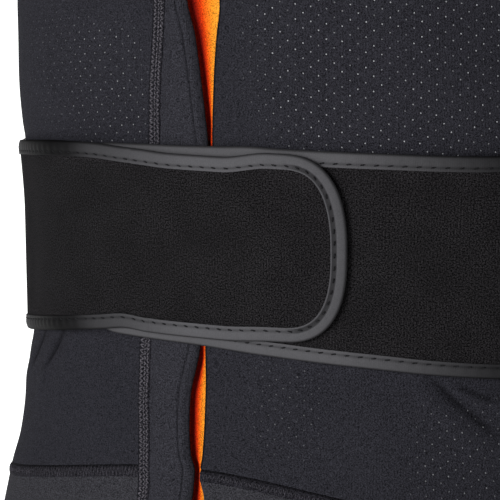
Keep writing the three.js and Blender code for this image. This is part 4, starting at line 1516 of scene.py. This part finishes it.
def binding(name, edges, side, lift, painted_reflection, creased=()):
    """Folded tape: a channel of tape swept round the wing's edge, and its stitches. painted_reflection
    gives (along, how far the satin's painted reflection is dimmed), and creased (along, 1 above or
    -1 below) of creases."""
    place, out, way = wing_path(edges, side)
    nose = int(np.argmax(-side * place[:, 0]))
    creases = []
    for along, sign in creased:
        part = slice(0, nose) if sign > 0 else slice(nose, None)
        creases.append(way[part][np.argmin(np.abs(place[part, 0] - along))])
    fold = binding_thickness / 2
    brim = binding_width - 0.0002  # where the rounding of the tape's cut edge starts
    turn = np.radians([-30, -60])
    face = np.concatenate([
        np.linspace(brim, binding_crown, 8)[:-1],
        binding_crown * (1 - np.sin(np.radians(np.linspace(0, 90, 13)))),
    ])
    profile = np.concatenate([
        [(binding_width, binding_thickness - tape / 2)],
        [(x, fold + fold * crown_share(x)) for x in face],
        [(fold - fold * math.cos(a), fold + fold * math.sin(a)) for a in turn],
        [(fold, 0), (brim, 0), (binding_width, tape / 2)],
        [(brim, tape), (fold, tape), (tape, fold)],
        [(fold, 2 * fold - tape - 0.0003), (brim, binding_thickness - tape)],
    ])
    inward, height = profile[:, 0][None, :], profile[:, 1][None, :]
    at = place[:, None, :] - out[:, None, :] * inward[..., None]
    facing = smooth_step((height - fold) / (fold * 0.8))
    relief = binding_top(way[:, None], inward, creases) * facing
    at_nose = smooth_step((-side * place[:, 0] - wing_overlap + 0.030) / 0.012)[:, None]
    strip = smooth_step((inward - strip_from) / 0.0005) * smooth_step((strip_to - inward) / 0.0004)
    strip = strip * at_nose * facing
    thick = lift(at[..., 0]) + height + relief - 0.0003 * strip + waves(at[..., 0], at[..., 1])
    points = belt_point(at[..., 0], at[..., 1], thick)
    rows, count = len(place), len(profile)
    i, k = np.meshgrid(np.arange(rows - 1), np.arange(count), indexing="ij")
    a, b = i * count + k, i * count + (k + 1) % count
    quads = np.stack([a, b, b + count, a + count], -1).reshape(-1, 4)
    cap = np.arange(count)[None, :]
    girth = np.concatenate([[0], np.cumsum(np.linalg.norm(np.diff(profile, axis=0), axis=1))])
    uv = np.stack([way[:, None] + 0 * inward, girth[None, :] + 0 * way[:, None]], -1)
    # The groove mask is painted shade: along the stitch row, in the sunken strip round the tongue's
    # end, and on the fold's outer edge.
    groove = 0.5 * np.exp(-(((inward - binding_stitch_in) / 0.0006) ** 2)) * facing
    outer_edge = 0.8 * (1 - smooth_step((inward - 0.0002) / 0.0009)) + 0 * groove
    groove = np.maximum(np.maximum(groove, 0.8 * strip), outer_edge)
    # Painted reflection: how far the satin's grey is dimmed at each place along the belt.
    dark = np.interp(side * place[:, 0], *np.array(painted_reflection).T)[:, None] + 0 * inward
    end = cap + (rows - 1) * count
    if side < 0:
        quads = quads[:, ::-1]
        caps = [cap, end[:, ::-1]]
    else:
        caps = [cap[:, ::-1], end]
    masks = [("groove", groove.ravel()), ("dark", dark.ravel())]
    points, uv = points.reshape(-1, 3), uv.reshape(-1, 2)
    piece = new_piece(name, points, [quads] + caps, binding_satin, uv, masks)
    count = int(way[-1] / binding_pitch)
    start = (np.arange(count)[:, None] + 0.3) * binding_pitch
    t = np.linspace(0, 1, 5)[None, :]
    where = start + t * binding_stitch
    across = binding_stitch_in + 0.0005 * (t - 0.5) + 0 * where
    base = np.stack([np.interp(where, way, place[:, k]) for k in range(2)], -1)
    base -= np.stack([np.interp(where, way, out[:, k]) for k in range(2)], -1) * across[..., None]
    high = binding_thickness + binding_top(where, across, creases) + stitch_lift
    high = high - 0.0002 * np.abs(2 * t - 1) ** 3
    high = high + lift(base[..., 0]) + waves(base[..., 0], base[..., 1])
    lines = belt_point(base[..., 0], base[..., 1], high)
    ups = unit(belt_point(base[..., 0], base[..., 1], high + 0.001) - lines)
    threads(f"{name}_stitches", lines, ups, binding_thread, stitch_yarn)
    return piece


# Painted reflection for each tape: (along the belt, how far its grey is dimmed).
under_painted_reflection = [(0.06, 0.05), (0.083, 0.2), (0.11, 0.55), (0.13, 0.8), (0.16, 0.8), (0.2, 0.4)]
under_tape = binding("under_wing_tape", under_wing_edges, 1, no_lift, under_painted_reflection)
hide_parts("under_wing_binding")
creased = ((-0.022, -1), (-0.031, 1))
top_painted_reflection = [(-0.07, 0.13), (-0.02, 0.04), (0.0, 0.0), (0.02, 0.18), (0.042, 0.46), (0.053, 0.58)]
top_painted_reflection += [(0.066, 0.93), (0.08, 1), (0.11, 1), (0.16, 0.4)]
top_tape = binding("top_wing_tape", top_wing_edges, -1, top_lift, top_painted_reflection, creased)
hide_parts("top_wing_binding")


# The photograph's view
# A long lens 34 degrees round to the wearer's left and a little above the belt, on a white
# studio sweep.

view_azimuth, view_elevation = math.radians(34), math.radians(8)
view_distance = 1.9
view_scale = 2360  # pixels to the metre at the front of the belt
picture = 500
axis_column, belt_row = 350, 243  # where the vest's axis and the belt level lie in the picture
near_side = 0.12
aim_level = 0.425

back_to_camera = np.array([
    math.sin(view_azimuth) * math.cos(view_elevation),
    -math.cos(view_azimuth) * math.cos(view_elevation),
    math.sin(view_elevation),
])
camera_right = np.array([math.cos(view_azimuth), math.sin(view_azimuth), 0])
camera_up = np.cross(back_to_camera, camera_right)
focal = view_scale * (view_distance - near_side)
eye = np.array([0, 0, shoulder_drop - aim_level]) + back_to_camera * view_distance
eye = eye + camera_right * (picture / 2 - axis_column) / view_scale
eye = eye + camera_up * (belt_row - picture / 2) / view_scale

camera = bpy.data.objects.new("camera", bpy.data.cameras.new("camera"))
bpy.context.collection.objects.link(camera)
camera.data.sensor_width = 36
camera.data.lens = focal / picture * camera.data.sensor_width
camera.data.clip_end = 50
camera.location = eye.tolist()
camera.rotation_euler = (math.pi / 2 - view_elevation, 0, view_azimuth)
bpy.context.scene.camera = camera


def soft_sun(name, azimuth, elevation, strength, spread):
    """A broad far light from this side, spread in degrees."""
    lamp = bpy.data.lights.new(name, "SUN")
    lamp.energy = strength
    lamp.angle = math.radians(spread)
    sun = bpy.data.objects.new(name, lamp)
    sun.rotation_euler = (math.pi / 2 - math.radians(elevation), 0, math.radians(azimuth))
    bpy.context.collection.objects.link(sun)


soft_sun("key_sun", -6, 12, 3.3, 30)
soft_sun("back_sun", 200, 22, 2.0, 50)

floor_drop = 0.18
floor_half = 12
floor_z = shoulder_drop - body_length - floor_drop
floor_corners = [(-1, -1), (1, -1), (1, 1), (-1, 1)]
floor_mesh = bpy.data.meshes.new("floor")
floor_points = [(x * floor_half, y * floor_half, floor_z) for x, y in floor_corners]
floor_mesh.from_pydata(floor_points, [], [(0, 1, 2, 3)])
floor = bpy.data.objects.new("floor", floor_mesh)
bpy.context.collection.objects.link(floor)
# The floor glows: its emission is painted light in place of lamps on the paper, dimmer near the vest.
paper, paper_tree, paper_shader = new_material("glowing_studio_paper", 0.9, Emission_Color=(1, 1, 1, 1))
paper_shader.inputs["Base Color"].default_value = (0.9, 0.9, 0.9, 1)
paper_place = node(paper_tree, "ShaderNodeTexCoord").outputs["Object"]
from_vest = node(paper_tree, "ShaderNodeVectorMath", paper_place, (1, 1, 0), operation="MULTIPLY")
from_vest = node(paper_tree, "ShaderNodeVectorMath", from_vest.outputs[0], operation="LENGTH")
glow = ramp(paper_tree, from_vest.outputs["Value"], 0.7, 1.3, 0.25, 0.9)
glow = node(paper_tree, "ShaderNodeCombineXYZ", glow, glow, glow).outputs[0]
paper_tree.links.new(glow, paper_shader.inputs["Emission Color"])
paper_shader.inputs["Emission Strength"].default_value = 1
floor_mesh.materials.append(paper)

world = bpy.data.worlds.new("studio")
bpy.context.scene.world = world
world.use_nodes = True
world.node_tree.nodes["Background"].inputs["Color"].default_value = (1, 1, 1, 1)
world.node_tree.nodes["Background"].inputs["Strength"].default_value = 0.12
bpy.context.scene.view_settings.view_transform = "Standard"
